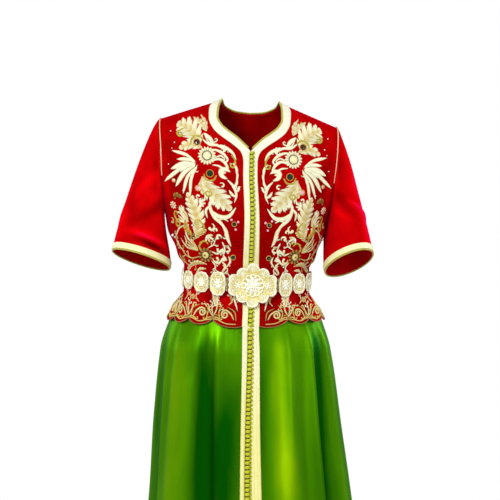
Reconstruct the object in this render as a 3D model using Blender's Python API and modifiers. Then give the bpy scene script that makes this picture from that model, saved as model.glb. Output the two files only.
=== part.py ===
"""Moroccan kaftan: a velvet bodice with a peplum, over a satin skirt, with a plate belt.

Metres, +Z up, the front faces -Y, and +X is the wearer's left. The origin is midway between the
two high points of the shoulders. Each panel is laid out on a symmetric figure and then turned and
tilted into its stance by posed(). In every grid the rows run down and the columns run round the
body, or the arm, anticlockwise as seen from above, so that its faces look outward.
"""

from math import asin, atan2, copysign, cos, pi, radians, sin, sqrt

import bmesh
import bpy
from mathutils import Matrix, Vector

# ---------------------------------------------------------------- driving sizes

VELVET = 0.0014  # wall of the velvet panels
SATIN = 0.0012  # wall of the skirt
BRAID = 0.0014  # thickness of the braid
SEAM_GAP = 0.00035  # each panel stops this far short of its seam
LAY_GAP = 0.0004  # between a panel and what is sewn on top of it

SHOULDER_IN = (0.064, 0.003)  # x, z of the neck end of the shoulder seam
SHOULDER_OUT = (0.194, -0.045)  # x, z of its sleeve end
ROLL_Z = -0.155  # the shoulders round back above this height
UNDERARM_Z = -0.250
HEM_Z = -1.450
PEPLUM_Z = -0.4640  # where the scallops of the peplum meet
SCALLOPS = (0.0165, 0.0110, 0.0100, 0.0100)  # depths on each quarter of the hem, from its centre
BELT_Z = -0.385
SKIRT_INSET = 0.0032  # the skirt lies this far inside the velvet's outer face, under the peplum
INSET_FROM_Z = -0.482  # below here the inset fades
INSET_TO_Z = -0.530  # and here it has gone

# The figure: height, half width, front of the axis, behind the axis, squareness of the section
BODY = (
    (0.040, 0.270, 0.090, 0.098, 2.3),
    (-0.045, 0.262, 0.093, 0.100, 2.3),
    (-0.107, 0.240, 0.097, 0.104, 2.3),
    (-0.155, 0.222, 0.108, 0.107, 2.3),
    (-0.205, 0.1965, 0.120, 0.107, 2.3),
    (-0.250, 0.1765, 0.124, 0.104, 2.3),
    (-0.284, 0.1715, 0.118, 0.100, 2.3),
    (-0.317, 0.1565, 0.106, 0.094, 2.25),
    (-0.339, 0.1505, 0.0978, 0.089, 2.2),
    (-0.357, 0.1380, 0.0968, 0.086, 2.2),
    (-0.413, 0.1380, 0.0968, 0.086, 2.2),
    (-0.431, 0.150, 0.0982, 0.095, 2.2),
    (-0.450, 0.164, 0.106, 0.105, 2.2),
    (-0.483, 0.177, 0.114, 0.117, 2.2),
    (-0.575, 0.192, 0.126, 0.135, 2.15),
    (-0.677, 0.203, 0.141, 0.148, 2.1),
    (-0.873, 0.223, 0.166, 0.170, 2.05),
    (-1.150, 0.255, 0.194, 0.199, 2.0),
    (-1.450, 0.288, 0.222, 0.226, 2.0),
)

# The stance: height, shift to +X, turn to the wearer's left in degrees, drop for each metre of X
STANCE = (
    (0.040, 0.000, 0.0, 0.052),
    (-0.045, -0.0060, 2.0, 0.050),
    (-0.107, -0.0085, 3.9, 0.048),
    (-0.180, -0.0132, 5.6, 0.045),
    (-0.250, -0.0130, 6.4, 0.042),
    (-0.335, -0.0106, 5.5, 0.030),
    (-0.435, -0.0106, 5.5, 0.030),
    (-0.483, -0.0128, 5.5, 0.006),
    (-0.677, -0.0110, 3.5, 0.000),
    (-0.873, -0.0048, 1.2, 0.000),
    (-1.450, 0.0000, 0.8, 0.000),
)

# The neckline from the shoulder to the centre: step, x and z of its edge, x and z of its braid's
# outer edge
FRONT_NECK = (
    (0, 0.0640, 0.0030, 0.0810, -0.0033),
    (1, 0.0702, -0.0150, 0.0875, -0.0200),
    (2, 0.0712, -0.0360, 0.0868, -0.0420),
    (3, 0.0625, -0.0545, 0.0765, -0.0645),
    (4, 0.0483, -0.0670, 0.0585, -0.0800),
    (5, 0.0290, -0.0808, 0.0365, -0.0950),
    (6, 0.0108, -0.0975, 0.0190, -0.1110),
    (7, 0.0003, -0.1070, 0.0150, -0.1250),
)
BACK_NECK = (
    (0, 0.0640, 0.0030, 0.0810, -0.0033),
    (1, 0.0600, -0.0060, 0.0760, -0.0150),
    (2, 0.0480, -0.0140, 0.0590, -0.0270),
    (3, 0.0280, -0.0200, 0.0340, -0.0355),
    (4, 0.0000, -0.0220, 0.0000, -0.0380),
)

# The braid down each front: height, width
PLACKET = (
    (-0.100, 0.0145),
    (-0.480, 0.0180),
    (-0.677, 0.0200),
    (-0.873, 0.0230),
    (-1.450, 0.0250),
)

# The armhole's edge: height, x
ARMHOLE = (
    (-0.045, 0.1940),
    (-0.110, 0.1900),
    (-0.170, 0.1850),
    (-0.215, 0.1805),
    (-0.250, 0.1765),
)

# The skirt's folds, in degrees from the centre front towards the wearer's left: place under the
# peplum, place at the hem, half width, and how far the cloth stands out at the hem in metres
FOLDS = (
    (-27, -26, 11, -0.030),
    (-50, -46, 14, 0.014),
    (-78, -72, 12, -0.018),
    (17, 17, 13, 0.012),
    (36, 34, 9, -0.012),
    (52, 55, 9, -0.028),
    (76, 80, 12, 0.010),
    (108, 106, 12, -0.020),
    (131, 129, 11, 0.016),
    (150, 152, 12, -0.026),
    (176, 174, 13, 0.014),
    (200, 203, 12, -0.024),
    (222, 225, 12, 0.014),
    (247, 250, 12, -0.022),
)

# How far the folds have opened: height, share
FOLD_GROWTH = (
    (-0.490, 0.0),
    (-0.600, 0.34),
    (-0.873, 0.72),
    (-1.450, 1.0),
)

# Each sleeve's hem in the stance: side, centre, half width, half depth, drop of its inner edge
# and of its back edge in degrees, and how far the crown carries outward before it falls
SLEEVES = {
    "left": (1, (0.2120, -0.030, -0.3467), 0.0552, 0.0560, 18.7, 29.3, 0.038),
    "right": (-1, (-0.2410, -0.018, -0.3400), 0.0652, 0.0590, 16.5, 18.0, 0.076),
}
SLEEVE_ROWS = 7  # above its hem's braid
SLEEVE_BEND = 0.92  # the part of its curve that these rows are spread over
CROWN_FALL = (0.130, 0.060)  # how hard it starts downward, at the underarm and at the crown
UNDERARM_CARRY = 0.002
FRONT_CARRY = 0.020
HEM_FALL = (0.075, 0.120)  # how straight it arrives at its hem, underneath and outside
HEM_LEAN = (1.0, 0.2)  # the part of its sideways lean that is left there
SLEEVE_START = 0.0012  # the sleeve starts this far outside the armhole's edge
SLEEVE_BRAID = 0.0125
SLEEVE_CORD = 0.0017  # radius
NECK_CORD = 0.0019  # radius
NECK_CORD_END = 0.0027  # each half ends this far from the centre front
PIPING = 0.0011  # radius
PIPING_LIFT = 0.0018  # its line lies this far off the cloth
PIPING_POINTS = 22
PIPING_INSET = 0.0016  # it lies this far inside the armhole's edge
PIPING_END_Z = -0.170

# The button row: height, shift to +X from the centre front, half width
BUTTON_ROW = (
    (-0.112, 0.0040, 0.0046),
    (-0.300, 0.0025, 0.0047),
    (-0.480, -0.0008, 0.0050),
    (-0.677, -0.0030, 0.0056),
    (-0.873, -0.0050, 0.0062),
    (-1.450, -0.0055, 0.0064),
)
BUTTON_PITCH = 0.0093
BUTTON_DEPTH = 0.0048  # how far a knot stands off the braid
BUTTON_SIDES = 5
BUTTON_WAIST = 0.62  # the row's size between two knots

# The belt's plates from the buckle to the centre back, on each side: width, height
PLATES = (
    (0.0385, 0.0520),
    (0.0375, 0.0450),
    (0.0350, 0.0410),
    (0.0350, 0.0400),
    (0.0350, 0.0400),
    (0.0345, 0.0400),
    (0.0345, 0.0400),
    (0.0345, 0.0400),
)
BACK_PLATE = (0.0345, 0.0400)
PLATE_THICK = 0.0024
PLATE_BOSS = 0.0022
PLATE_SIDES = 8
PLATE_RIM = 0.16  # the flat rim round the boss, as a share of the plate's width
HINGE_SHARE = 0.55  # a hinge barrel's length, of its plate's height
BELT_SHIFT = 0.003  # the buckle sits this far to the wearer's left
BELT_DIP = 0.050  # how far the belt hangs lower in front, for each metre ahead of the axis
BELT_TOUCH = 0.095  # x where the belt comes down onto the cloth
BUCKLE_END = 0.0500  # x of the end of the buckle's wing
BUCKLE_STAND = 0.0118  # the back of the buckle stands this far off the cloth, over the buttons
BUCKLE_THICK = 0.0035
BUCKLE_DOME = 0.0055
BUCKLE_BEND = 0.240  # radius that it is bent to
BUCKLE_POINTS = 56

# The buckle's outline is the union of these discs: x, z, radius
BUCKLE_LOBES = (
    (0.0, 0.0, 0.0340),
    (0.0, 0.0345, 0.0130),
    (0.0, -0.0345, 0.0130),
    (0.0300, 0.0, 0.0195),
    (-0.0300, 0.0, 0.0195),
    (0.0215, 0.0235, 0.0135),
    (-0.0215, 0.0235, 0.0135),
    (0.0215, -0.0235, 0.0135),
    (-0.0215, -0.0235, 0.0135),
)

# How finely the panels are cut
FRONT_NECK_ROWS = 9
BACK_NECK_ROWS = 5
ARMHOLE_ROWS = 14  # from the shoulder seam to the underarm
QUARTER_COLUMNS = 12
LOWER_ROWS_Z = (-0.284, -0.317, -0.339, -0.357, -0.413, -0.431, -0.450)
SKIRT_ROWS_Z = (-0.413, -0.431, -0.450, -0.4795, -0.530, -0.620, -0.750, -0.900, -1.080, -1.260, HEM_Z)
SKIRT_HIDDEN_ROWS = 3  # under the peplum, above where the skirt's braid starts
SKIRT_COLUMNS = 15  # on each quarter


# ---------------------------------------------------------------- numbers and curves


def mix(a, b, t):
    return a + (b - a) * t


def at(table, key):
    """The other columns of a table at this value of its first: smooth, and without overshoot."""
    sign = 1 if table[0][0] < table[-1][0] else -1
    keys = [sign * row[0] for row in table]
    key = min(max(sign * key, keys[0]), keys[-1])
    last = len(keys) - 1
    i = max(k for k in range(last) if keys[k] <= key)
    step = keys[i + 1] - keys[i]
    t = (key - keys[i]) / step

    def slope(values, k):
        if k in (0, last):
            return 0.0
        before = (values[k] - values[k - 1]) / (keys[k] - keys[k - 1])
        after = (values[k + 1] - values[k]) / (keys[k + 1] - keys[k])
        return 0.0 if before * after <= 0 else 2 * before * after / (before + after)

    found = []
    for values in list(zip(*table))[1:]:
        level = mix(values[i], values[i + 1], t * t * (3 - 2 * t))
        rise = slope(values, i) * t * (1 - t) ** 2 - slope(values, i + 1) * t * t * (1 - t)
        found.append(level + step * rise)
    return found


def evenly(points, count, crowd=1.0):
    """Places along a polyline, as an index and a part: even by length, or crowded at its start."""
    travelled = [0.0]
    for a, b in zip(points, points[1:]):
        travelled.append(travelled[-1] + (b - a).length)
    places = []
    for k in range(count):
        target = travelled[-1] * (k / (count - 1)) ** crowd
        i = max(j for j in range(len(points) - 1) if travelled[j] <= target + 1e-9)
        places.append(i + min(1.0, (target - travelled[i]) / (travelled[i + 1] - travelled[i])))
    return places


def power(value, exponent):
    return copysign(abs(value) ** exponent, value)


def mirrored(grid):
    """The grid on the other side of the figure, its columns still running anticlockwise."""
    return [[Vector((-p.x, p.y, p.z)) for p in reversed(row)] for row in grid]


def posed(point):
    """A point of the symmetric figure, moved into the stance."""
    shift, turn, drop = at(STANCE, point.z)
    x = point.x * cos(radians(turn)) - point.y * sin(radians(turn)) + shift
    y = point.x * sin(radians(turn)) + point.y * cos(radians(turn))
    return Vector((x, y, point.z - drop * x))


# ---------------------------------------------------------------- the figure's surface


def shoulder_z(x):
    (x_in, z_in), (x_out, z_out) = SHOULDER_IN, SHOULDER_OUT
    return mix(z_in, z_out, (abs(x) - x_in) / (x_out - x_in))


def on_figure(x, z, side):
    """The point of the figure at this x and height, side -1 on the front and 1 on the back."""
    width, front, back, square = at(BODY, z)
    depth = front if side < 0 else back
    flat = max(0.0, 1 - (abs(x) / width) ** square) ** (1 / square)
    rolled = min(max((z - ROLL_Z) / (shoulder_z(x) - ROLL_Z), 0.0), 1.0)
    return Vector((x, side * max(depth * flat * sqrt(1 - rolled * rolled), SEAM_GAP), z))


def outward(point, side):
    """The figure's normal at one of its points."""
    step = 0.0005
    across = (on_figure(point.x + step, point.z, side).y - on_figure(point.x - step, point.z, side).y)
    down = (on_figure(point.x, point.z + step, side).y - on_figure(point.x, point.z - step, side).y)
    return Vector((-side * across, side * 2 * step, -side * down)).normalized()


def laid_on(grid, side, distance):
    """The grid's points, moved out from the figure."""
    return [[p + outward(p, side) * distance for p in row] for row in grid]


def section_point(turn, z, side, inset=0.0):
    """A point of the section at a height, turned from the centre front or back to the side."""
    width, front, back, square = at(BODY, z)
    depth = (front if side < 0 else back) - inset
    x = (width - inset) * power(sin(turn), 2 / square)
    return Vector((x, side * max(depth * power(cos(turn), 2 / square), SEAM_GAP), z))


def row_between(inner, outer, side):
    """A row on the figure from one (x, z) to another, spread round the section."""
    (x_in, z_in), (x_out, z_out) = inner, outer
    turn_in = asin(min(1.0, x_in / at(BODY, z_in)[0]))
    turn_out = asin(min(1.0, x_out / at(BODY, z_out)[0]))
    row = []
    for k in range(QUARTER_COLUMNS + 1):
        part = k / QUARTER_COLUMNS
        width = at(BODY, mix(z_in, z_out, part))[0]
        x = width * sin(mix(turn_in, turn_out, part))
        row.append(on_figure(x, mix(z_in, z_out, (x - x_in) / (x_out - x_in)), side))
    return row


def armhole_line(side, count=ARMHOLE_ROWS, inset=0.0):
    """The armhole's edge on the wearer's left, from the shoulder seam to the underarm, or a line
    this far inside it."""
    fine = 80
    top = SHOULDER_OUT[1]
    levels = [mix(top, UNDERARM_Z, (1 - cos(pi * k / fine)) / 2) for k in range(fine + 1)]
    line = [on_figure(at(ARMHOLE, z)[0] - inset, z, side) for z in levels]
    places = evenly(line, count, 1.15)
    return [line[int(s)].lerp(line[min(int(s) + 1, fine)], s - int(s)) for s in places]


def neck_pairs(table, side, count):
    """(x, z) of the neckline's edge and of its braid's outer edge, from the shoulder inward."""
    fine = 12
    last = len(table) - 1
    rows = [at(table, k / fine) for k in range(last * fine + 1)]
    edge = [on_figure(r[0], min(r[1], shoulder_z(r[0])), side) for r in rows]
    pairs = []
    for place in evenly(edge, count, 1.25):
        x_in, z_in, x_out, z_out = at(table, place / fine)
        pairs.append(((x_in, min(z_in, shoulder_z(x_in))), (x_out, min(z_out, shoulder_z(x_out)))))
    return pairs


# ---------------------------------------------------------------- panels on the figure


def scallop_z(part, first):
    """The peplum's hem, at this part of the quarter from the centre; the front's first scallop
    starts at the placket, past its own corner."""
    lobe = min(int(part * len(SCALLOPS)), len(SCALLOPS) - 1)
    phase = part * len(SCALLOPS) - lobe
    if lobe == 0:
        phase = mix(first, 1.0, phase)
    return PEPLUM_Z - SCALLOPS[lobe] * max(0.0, sin(pi * phase)) ** 0.75


def lower_row(z, side):
    """A level row of a bodice quarter from the centre to the side; the scalloped hem for None."""
    level = PEPLUM_Z if z is None else z
    width, square = at(BODY, level)[0], at(BODY, level)[3]
    strip = at(PLACKET, level)[0]
    start = asin((strip / width) ** (square / 2)) if side < 0 else 0.0
    first = 0.3 if side < 0 else 0.0
    row = []
    for k in range(QUARTER_COLUMNS + 1):
        part = k / QUARTER_COLUMNS
        height = scallop_z(part, first) if z is None else z
        row.append(section_point(mix(start, pi / 2, part), height, side))
    if side < 0:
        row = [on_figure(x, row[0].z, side) for x in (SEAM_GAP, strip / 2)] + row
    return row


def front_quarter():
    """The wearer's left front, from the centre to the side. Its first three columns carry the
    braid, round the neck and then down the centre."""
    outer = armhole_line(-1)
    neck = neck_pairs(FRONT_NECK, -1, FRONT_NECK_ROWS)
    v_z = neck[-1][0][1]
    grid = []
    for k in range(ARMHOLE_ROWS):
        if k < FRONT_NECK_ROWS:
            edge, strip = neck[k]
        else:
            below = (k - FRONT_NECK_ROWS + 1) / (ARMHOLE_ROWS - FRONT_NECK_ROWS)
            edge = (SEAM_GAP, mix(v_z, UNDERARM_Z, below))
            strip_z = mix(neck[-1][1][1], UNDERARM_Z, below)
            strip = (at(PLACKET, strip_z)[0], strip_z)
        middle = (mix(edge[0], strip[0], 0.5), mix(edge[1], strip[1], 0.5))
        body = row_between(strip, (outer[k].x, outer[k].z), -1)
        grid.append([on_figure(*edge, -1), on_figure(*middle, -1), *body[:-1], outer[k]])
    return grid + [lower_row(z, -1) for z in (*LOWER_ROWS_Z, None)]


def back_quarter():
    """The wearer's left half of the back, from the side to the centre, and the strip of it that
    lies under the neck braid."""
    outer = armhole_line(1)
    neck = neck_pairs(BACK_NECK, 1, BACK_NECK_ROWS)
    grid = []
    for k in range(ARMHOLE_ROWS):
        if k < BACK_NECK_ROWS:
            strip = neck[k][1]
        else:
            below = (k - BACK_NECK_ROWS + 1) / (ARMHOLE_ROWS - BACK_NECK_ROWS)
            strip = (0.0, mix(neck[-1][1][1], UNDERARM_Z, below))
        body = row_between(strip, (outer[k].x, outer[k].z), 1)
        grid.append([*body[:-1], outer[k]][::-1])
    grid += [lower_row(z, 1)[::-1] for z in (*LOWER_ROWS_Z, None)]
    strip = [[on_figure(*outer_edge, 1), on_figure(*edge, 1)] for edge, outer_edge in neck]
    return grid, strip


def fold_out(turn, z):
    """How far the skirt stands out of the plain figure, turn degrees round from the front."""
    low = (z - FOLD_GROWTH[0][0]) / (HEM_Z - FOLD_GROWTH[0][0])
    total = 0.0
    for top, hem, half, reach in FOLDS:
        away = (turn - mix(top, hem, max(low, 0.0)) + 180) % 360 - 180
        if abs(away) < half:
            total += reach * cos(pi / 2 * away / half) ** 2
    return total * at(FOLD_GROWTH, z)[0]


def skirt_inset(z):
    return SKIRT_INSET * min(max((z - INSET_TO_Z) / (INSET_FROM_Z - INSET_TO_Z), 0.0), 1.0)


def skirt_row(z, side, hand):
    """A level row of one quarter of the skirt, from the centre to the side; hand is 1 on the
    wearer's left and -1 on the right, because the folds differ."""
    width, square = at(BODY, z)[0], at(BODY, z)[3]
    inset = skirt_inset(z)
    strip = at(PLACKET, z)[0]
    start = asin((strip / width) ** (square / 2)) if side < 0 else 0.0
    turns = [mix(start, pi / 2, k / SKIRT_COLUMNS) for k in range(SKIRT_COLUMNS + 1)]
    row = [section_point(turn, z, side, inset) for turn in turns]
    if side < 0:
        row = [Vector((x, row[0].y, z)) for x in (SEAM_GAP, strip / 2)] + row
        turns = [0.0, 0.0] + turns
    for k, turn in enumerate(turns):
        round_turn = hand * (turn if side < 0 else pi - turn)
        away = Vector((row[k].x, row[k].y, 0)).normalized()
        moved = row[k] + away * fold_out(round_turn * 180 / pi, z)
        moved.x *= hand
        if k == len(turns) - 1:
            moved.y = side * SEAM_GAP
        row[k] = moved
    return row if hand * side < 0 else row[::-1]


# ---------------------------------------------------------------- making solids


def material(name, color, roughness, metallic=0.0):
    made = bpy.data.materials.new(name)
    made.use_nodes = True
    made.diffuse_color = (*color, 1)
    shader = made.node_tree.nodes["Principled BSDF"]
    shader.inputs["Base Color"].default_value = (*color, 1)
    shader.inputs["Roughness"].default_value = roughness
    shader.inputs["Metallic"].default_value = metallic
    return made


def link(name, data, look, parent=None):
    obj = bpy.data.objects.new(name, data)
    data.materials.append(look)
    KAFTAN.objects.link(obj)
    obj.parent = parent
    return obj


def surface(name, look, grids, ring=False):
    """An open surface through one or more grids of points, joined where they share a line."""
    bm = bmesh.new()
    for grid in grids:
        rows = [[bm.verts.new(p) for p in row] for row in grid]
        for upper, lower in zip(rows, rows[1:]):
            for k in range(len(upper) if ring else len(upper) - 1):
                n = (k + 1) % len(upper)
                bm.faces.new((upper[k], lower[k], lower[n], upper[n]))
    bmesh.ops.remove_doubles(bm, verts=bm.verts, dist=1e-5)
    mesh = bpy.data.meshes.new(name)
    bm.to_mesh(mesh)
    bm.free()
    mesh.shade_smooth()
    return link(name, mesh, look)


def wall(obj, thickness, offset=-1):
    """Gives a surface its thickness, inward at offset -1 and outward at 1."""
    solidify = obj.modifiers.new("Wall", "SOLIDIFY")
    solidify.thickness = thickness
    solidify.offset = offset
    solidify.use_even_offset = True


def cord(name, look, points, radius, ring=False):
    """A round cord through points."""
    curve = bpy.data.curves.new(name, "CURVE")
    curve.dimensions = "3D"
    curve.bevel_depth = radius
    curve.bevel_resolution = 1
    curve.use_fill_caps = not ring
    spline = curve.splines.new("POLY")
    spline.points.add(len(points) - 1)
    for place, point in zip(spline.points, points):
        place.co = (*point, 1)
    spline.use_cyclic_u = ring
    spline.use_smooth = True
    return link(name, curve, look)


def loft(name, look, rings, parent=None):
    """A closed solid through rings with as many points each, its two ends capped."""
    bm = bmesh.new()
    rows = [[bm.verts.new(p) for p in ring] for ring in rings]
    for upper, lower in zip(rows, rows[1:]):
        for k in range(len(upper)):
            n = (k + 1) % len(upper)
            bm.faces.new((upper[k], lower[k], lower[n], upper[n]))
    bm.faces.new(rows[0])
    bm.faces.new(rows[-1][::-1])
    bmesh.ops.recalc_face_normals(bm, faces=bm.faces)
    mesh = bpy.data.meshes.new(name)
    bm.to_mesh(mesh)
    bm.free()
    return link(name, mesh, look, parent)


def stance_of(grid):
    return [[posed(p) for p in row] for row in grid]


# ---------------------------------------------------------------- the garment's pieces


def make_bodice():
    front = front_quarter()
    back, back_strip = back_quarter()
    for name, turned in (("left", lambda g: g), ("right", mirrored)):
        panel = surface(f"bodice_front_{name}", VELVET_LOOK, [stance_of(turned(front))])
        wall(panel, VELVET)
        strip = laid_on([row[:3] for row in front], -1, LAY_GAP)
        braid = surface(f"front_braid_{name}", BRAID_LOOK, [stance_of(turned(strip))])
        wall(braid, BRAID, 1)
        edge = [row[0] for row in front[:FRONT_NECK_ROWS]]
        inner = neck_cord_path(edge, -1)
        cord(f"neck_cord_{name}", CORD_LOOK, stance_of(turned([inner]))[0], NECK_CORD)
    grids = [back, mirrored(back), back_strip, mirrored(back_strip)]
    wall(surface("bodice_back", VELVET_LOOK, [stance_of(g) for g in grids]), VELVET)
    strip = laid_on(back_strip, 1, LAY_GAP)
    strip[-1] = [Vector((0.0, p.y, p.z)) for p in strip[-1]]
    grids = [strip, mirrored(strip)]
    wall(surface("back_neck_braid", BRAID_LOOK, [stance_of(g) for g in grids]), BRAID, 1)
    half = neck_cord_path([row[1] for row in back_strip], 1)
    half[-1].x = 0.0
    path = half + [Vector((-p.x, p.y, p.z)) for p in reversed(half[:-1])]
    cord("back_neck_cord", CORD_LOOK, stance_of([path])[0], NECK_CORD)


def neck_cord_path(edge, side):
    """The line of the cord that lies against the inner edge of the neck braid."""
    path = []
    last = len(edge) - 1
    for k, p in enumerate(edge):
        along = (edge[min(k + 1, last)] - edge[max(k - 1, 0)]).normalized()
        normal = outward(p, side)
        into_neck = normal.cross(along) * side
        path.append(p + into_neck * (NECK_CORD + LAY_GAP) + normal * BRAID / 2)
    path[0].y = side * (LAY_GAP + SEAM_GAP)
    if side < 0:
        end, before = path[-1], path[-2]
        path[-1] = end.lerp(before, (NECK_CORD_END - end.x) / (before.x - end.x))
    return path


def sleeve_grid(side, centre, half_width, half_depth, inner_drop, back_drop, carry):
    """A sleeve from the armhole to its hem, and the direction of each column at the hem."""
    front, back = armhole_line(-1), armhole_line(1)
    loop = (back + front[-2:0:-1]) if side > 0 else (front + back[-2:0:-1])
    count = len(loop)
    centre = Vector(centre)
    out = Vector((side * cos(radians(inner_drop)), 0, sin(radians(inner_drop))))
    ahead = Vector((0, -cos(radians(back_drop)), sin(radians(back_drop))))
    fall = out.cross(ahead) * side
    columns = []
    for k, start in enumerate(loop):
        turn = 2 * pi * k / count
        top = (1 + cos(turn)) / 2
        forward = -side * sin(turn)
        start = posed(Vector((side * start.x, start.y, start.z))) + Vector((side * SLEEVE_START, 0, 0))
        end = centre + out * half_width * cos(turn) + ahead * half_depth * forward
        leave = Vector((side * mix(UNDERARM_CARRY, carry, top), -FRONT_CARRY * forward, 0))
        leave.z = -mix(*CROWN_FALL, top)
        arrive = fall * mix(*HEM_FALL, top)
        arrive.x *= mix(*HEM_LEAN, top)
        points = []
        for r in range(SLEEVE_ROWS):
            t = SLEEVE_BEND * r / SLEEVE_ROWS
            points.append(
                start * (1 + 2 * t) * (1 - t) ** 2
                + leave * t * (1 - t) ** 2
                + end * t * t * (3 - 2 * t)
                - arrive * t * t * (1 - t)
            )
        away = (end - points[-1]).normalized()
        points.append(end - away * SLEEVE_BRAID)
        points.append(end)
        columns.append(points)
    return [list(row) for row in zip(*columns)]


def ring_normals(upper, lower):
    """The outward direction at each point of the lower of two rings."""
    count = len(lower)
    return [
        (lower[k] - upper[k]).cross(lower[(k + 1) % count] - lower[k - 1]).normalized()
        for k in range(count)
    ]


def make_sleeve(name):
    side = SLEEVES[name][0]
    grid = sleeve_grid(*SLEEVES[name])
    wall(surface(f"sleeve_{name}", VELVET_LOOK, [grid], ring=True), VELVET)
    normals = ring_normals(grid[-2], grid[-1])
    band = [[p + n * LAY_GAP for p, n in zip(row, normals)] for row in grid[-2:]]
    wall(surface(f"sleeve_braid_{name}", BRAID_LOOK, [band], ring=True), BRAID, 1)
    path = []
    for upper, lower, normal in zip(grid[-2], grid[-1], normals):
        path.append(lower + (lower - upper).normalized() * (SLEEVE_CORD + LAY_GAP))
    cord(f"sleeve_cord_{name}", CORD_LOOK, path, SLEEVE_CORD, ring=True)
    halves = []
    for face in (-1, 1):
        seam = armhole_line(face, PIPING_POINTS, PIPING_INSET)[1:]
        halves.append([p + outward(p, face) * PIPING_LIFT for p in seam if p.z > PIPING_END_Z])
    x = SHOULDER_OUT[0] - PIPING_INSET
    top = Vector((x, 0, shoulder_z(x) + PIPING_LIFT))
    line = [*halves[0][::-1], top, *halves[1]]
    line = [posed(Vector((side * p.x, p.y, p.z))) for p in line]
    cord(f"armhole_piping_{name}", PIPING_LOOK, line, PIPING)


def make_skirt():
    rows = {
        (side, hand): [skirt_row(z, side, hand) for z in SKIRT_ROWS_Z]
        for side in (-1, 1)
        for hand in (-1, 1)
    }
    back = [rows[1, 1], rows[1, -1]]
    wall(surface("skirt_back", SATIN_LOOK, [stance_of(g) for g in back]), SATIN)
    for name, hand in (("left", 1), ("right", -1)):
        grid = rows[-1, hand]
        wall(surface(f"skirt_front_{name}", SATIN_LOOK, [stance_of(grid)]), SATIN)
        strip = [row[:3] if hand > 0 else row[-3:] for row in grid[SKIRT_HIDDEN_ROWS:]]
        braid = surface(f"skirt_braid_{name}", BRAID_LOOK, [stance_of(laid_on(strip, -1, LAY_GAP))])
        wall(braid, BRAID, 1)


def make_button_row(name, levels, insets):
    """A row of knots on the braid, down the centre front through these heights."""
    line = []
    for z, inset in zip(levels, insets):
        shift = at(BUTTON_ROW, z)[0]
        foot = on_figure(0.0, z, -1) + Vector((shift, inset, 0))
        line.append(foot + outward(foot, -1) * (2 * LAY_GAP + BRAID + BUTTON_DEPTH / 2))
    length = sum((b - a).length for a, b in zip(line, line[1:]))
    knots = round(length / BUTTON_PITCH)
    places = evenly(line, 2 * knots + 1)
    rings = []
    for k, place in enumerate(places):
        i = min(int(place), len(line) - 2)
        centre = line[i].lerp(line[i + 1], place - i)
        size = 1.0 if k % 2 else BUTTON_WAIST
        half = at(BUTTON_ROW, centre.z)[1]
        ring = []
        for j in range(BUTTON_SIDES):
            turn = 2 * pi * (j + 0.25) / BUTTON_SIDES
            reach = Vector((half * cos(turn), -BUTTON_DEPTH / 2 * sin(turn), 0))
            ring.append(posed(centre + reach * size))
        rings.append(ring)
    loft(name, CORD_LOOK, rings)


# ---------------------------------------------------------------- the belt


def belt_line(start_x):
    """The line that the plates' ends follow, in the belt's own frame, from this x at the buckle's
    end to just past the centre back."""
    steps = 400
    cloth = []
    for side, turns in ((-1, range(steps + 1)), (1, range(steps - 1, -steps // 20, -1))):
        for k in turns:
            turn = pi / 2 * k / steps
            p = section_point(abs(turn), BELT_Z, side)
            cloth.append(Vector((copysign(p.x, turn), p.y, 0.0)))
    cloth = [p for p in cloth if p.y > 0 or p.x > start_x]
    line = []
    reach = steps // 33
    for k, p in enumerate(cloth):
        ahead, behind = cloth[min(k + reach, len(cloth) - 1)], cloth[max(k - reach, 0)]
        along = (ahead - behind).normalized()
        bend = (ahead - p).normalized().angle((p - behind).normalized(), 0.0)
        sagitta = bend / max((ahead - behind).length, 1e-6) * 2 * PLATES[0][0] ** 2 / 8
        near = min(max((BELT_TOUCH - p.x) / (BELT_TOUCH - BUCKLE_END), 0.0), 1.0) if p.y < 0 else 0.0
        stand = 2 * LAY_GAP + sagitta + near * near * (3 - 2 * near) * BUCKLE_STAND
        line.append(p + Vector((along.y * stand, -along.x * stand, BELT_DIP * p.y)))
    return line


def marched(line, lengths):
    """Points on a line, each the next straight distance from the one before; None if it ends."""
    found = [line[0]]
    i = 0
    for length in lengths:
        here = found[-1]
        while (line[i + 1] - here).length < length:
            i += 1
            if i + 1 == len(line):
                return None
        near, far = (line[i] - here).length, (line[i + 1] - here).length
        found.append(line[i].lerp(line[i + 1], max(0.0, (length - near) / (far - near))))
    return found


def belt_ends(hand):
    """Both ends of each plate on one side, laid out as the wearer's left, with even gaps that
    bring the last one to the back plate."""
    line = belt_line(BUCKLE_END + hand * BELT_SHIFT)
    low, high = 0.0, 0.02
    for _ in range(40):
        gap = (low + high) / 2
        lengths = [length for width, _ in PLATES for length in (gap, width)] + [gap]
        ends = marched(line, lengths)
        if ends is None or ends[-1].x < BACK_PLATE[0] / 2:
            high = gap
        else:
            low = gap
    return marched(line, [length for width, _ in PLATES for length in (low, width)] + [low])


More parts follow.
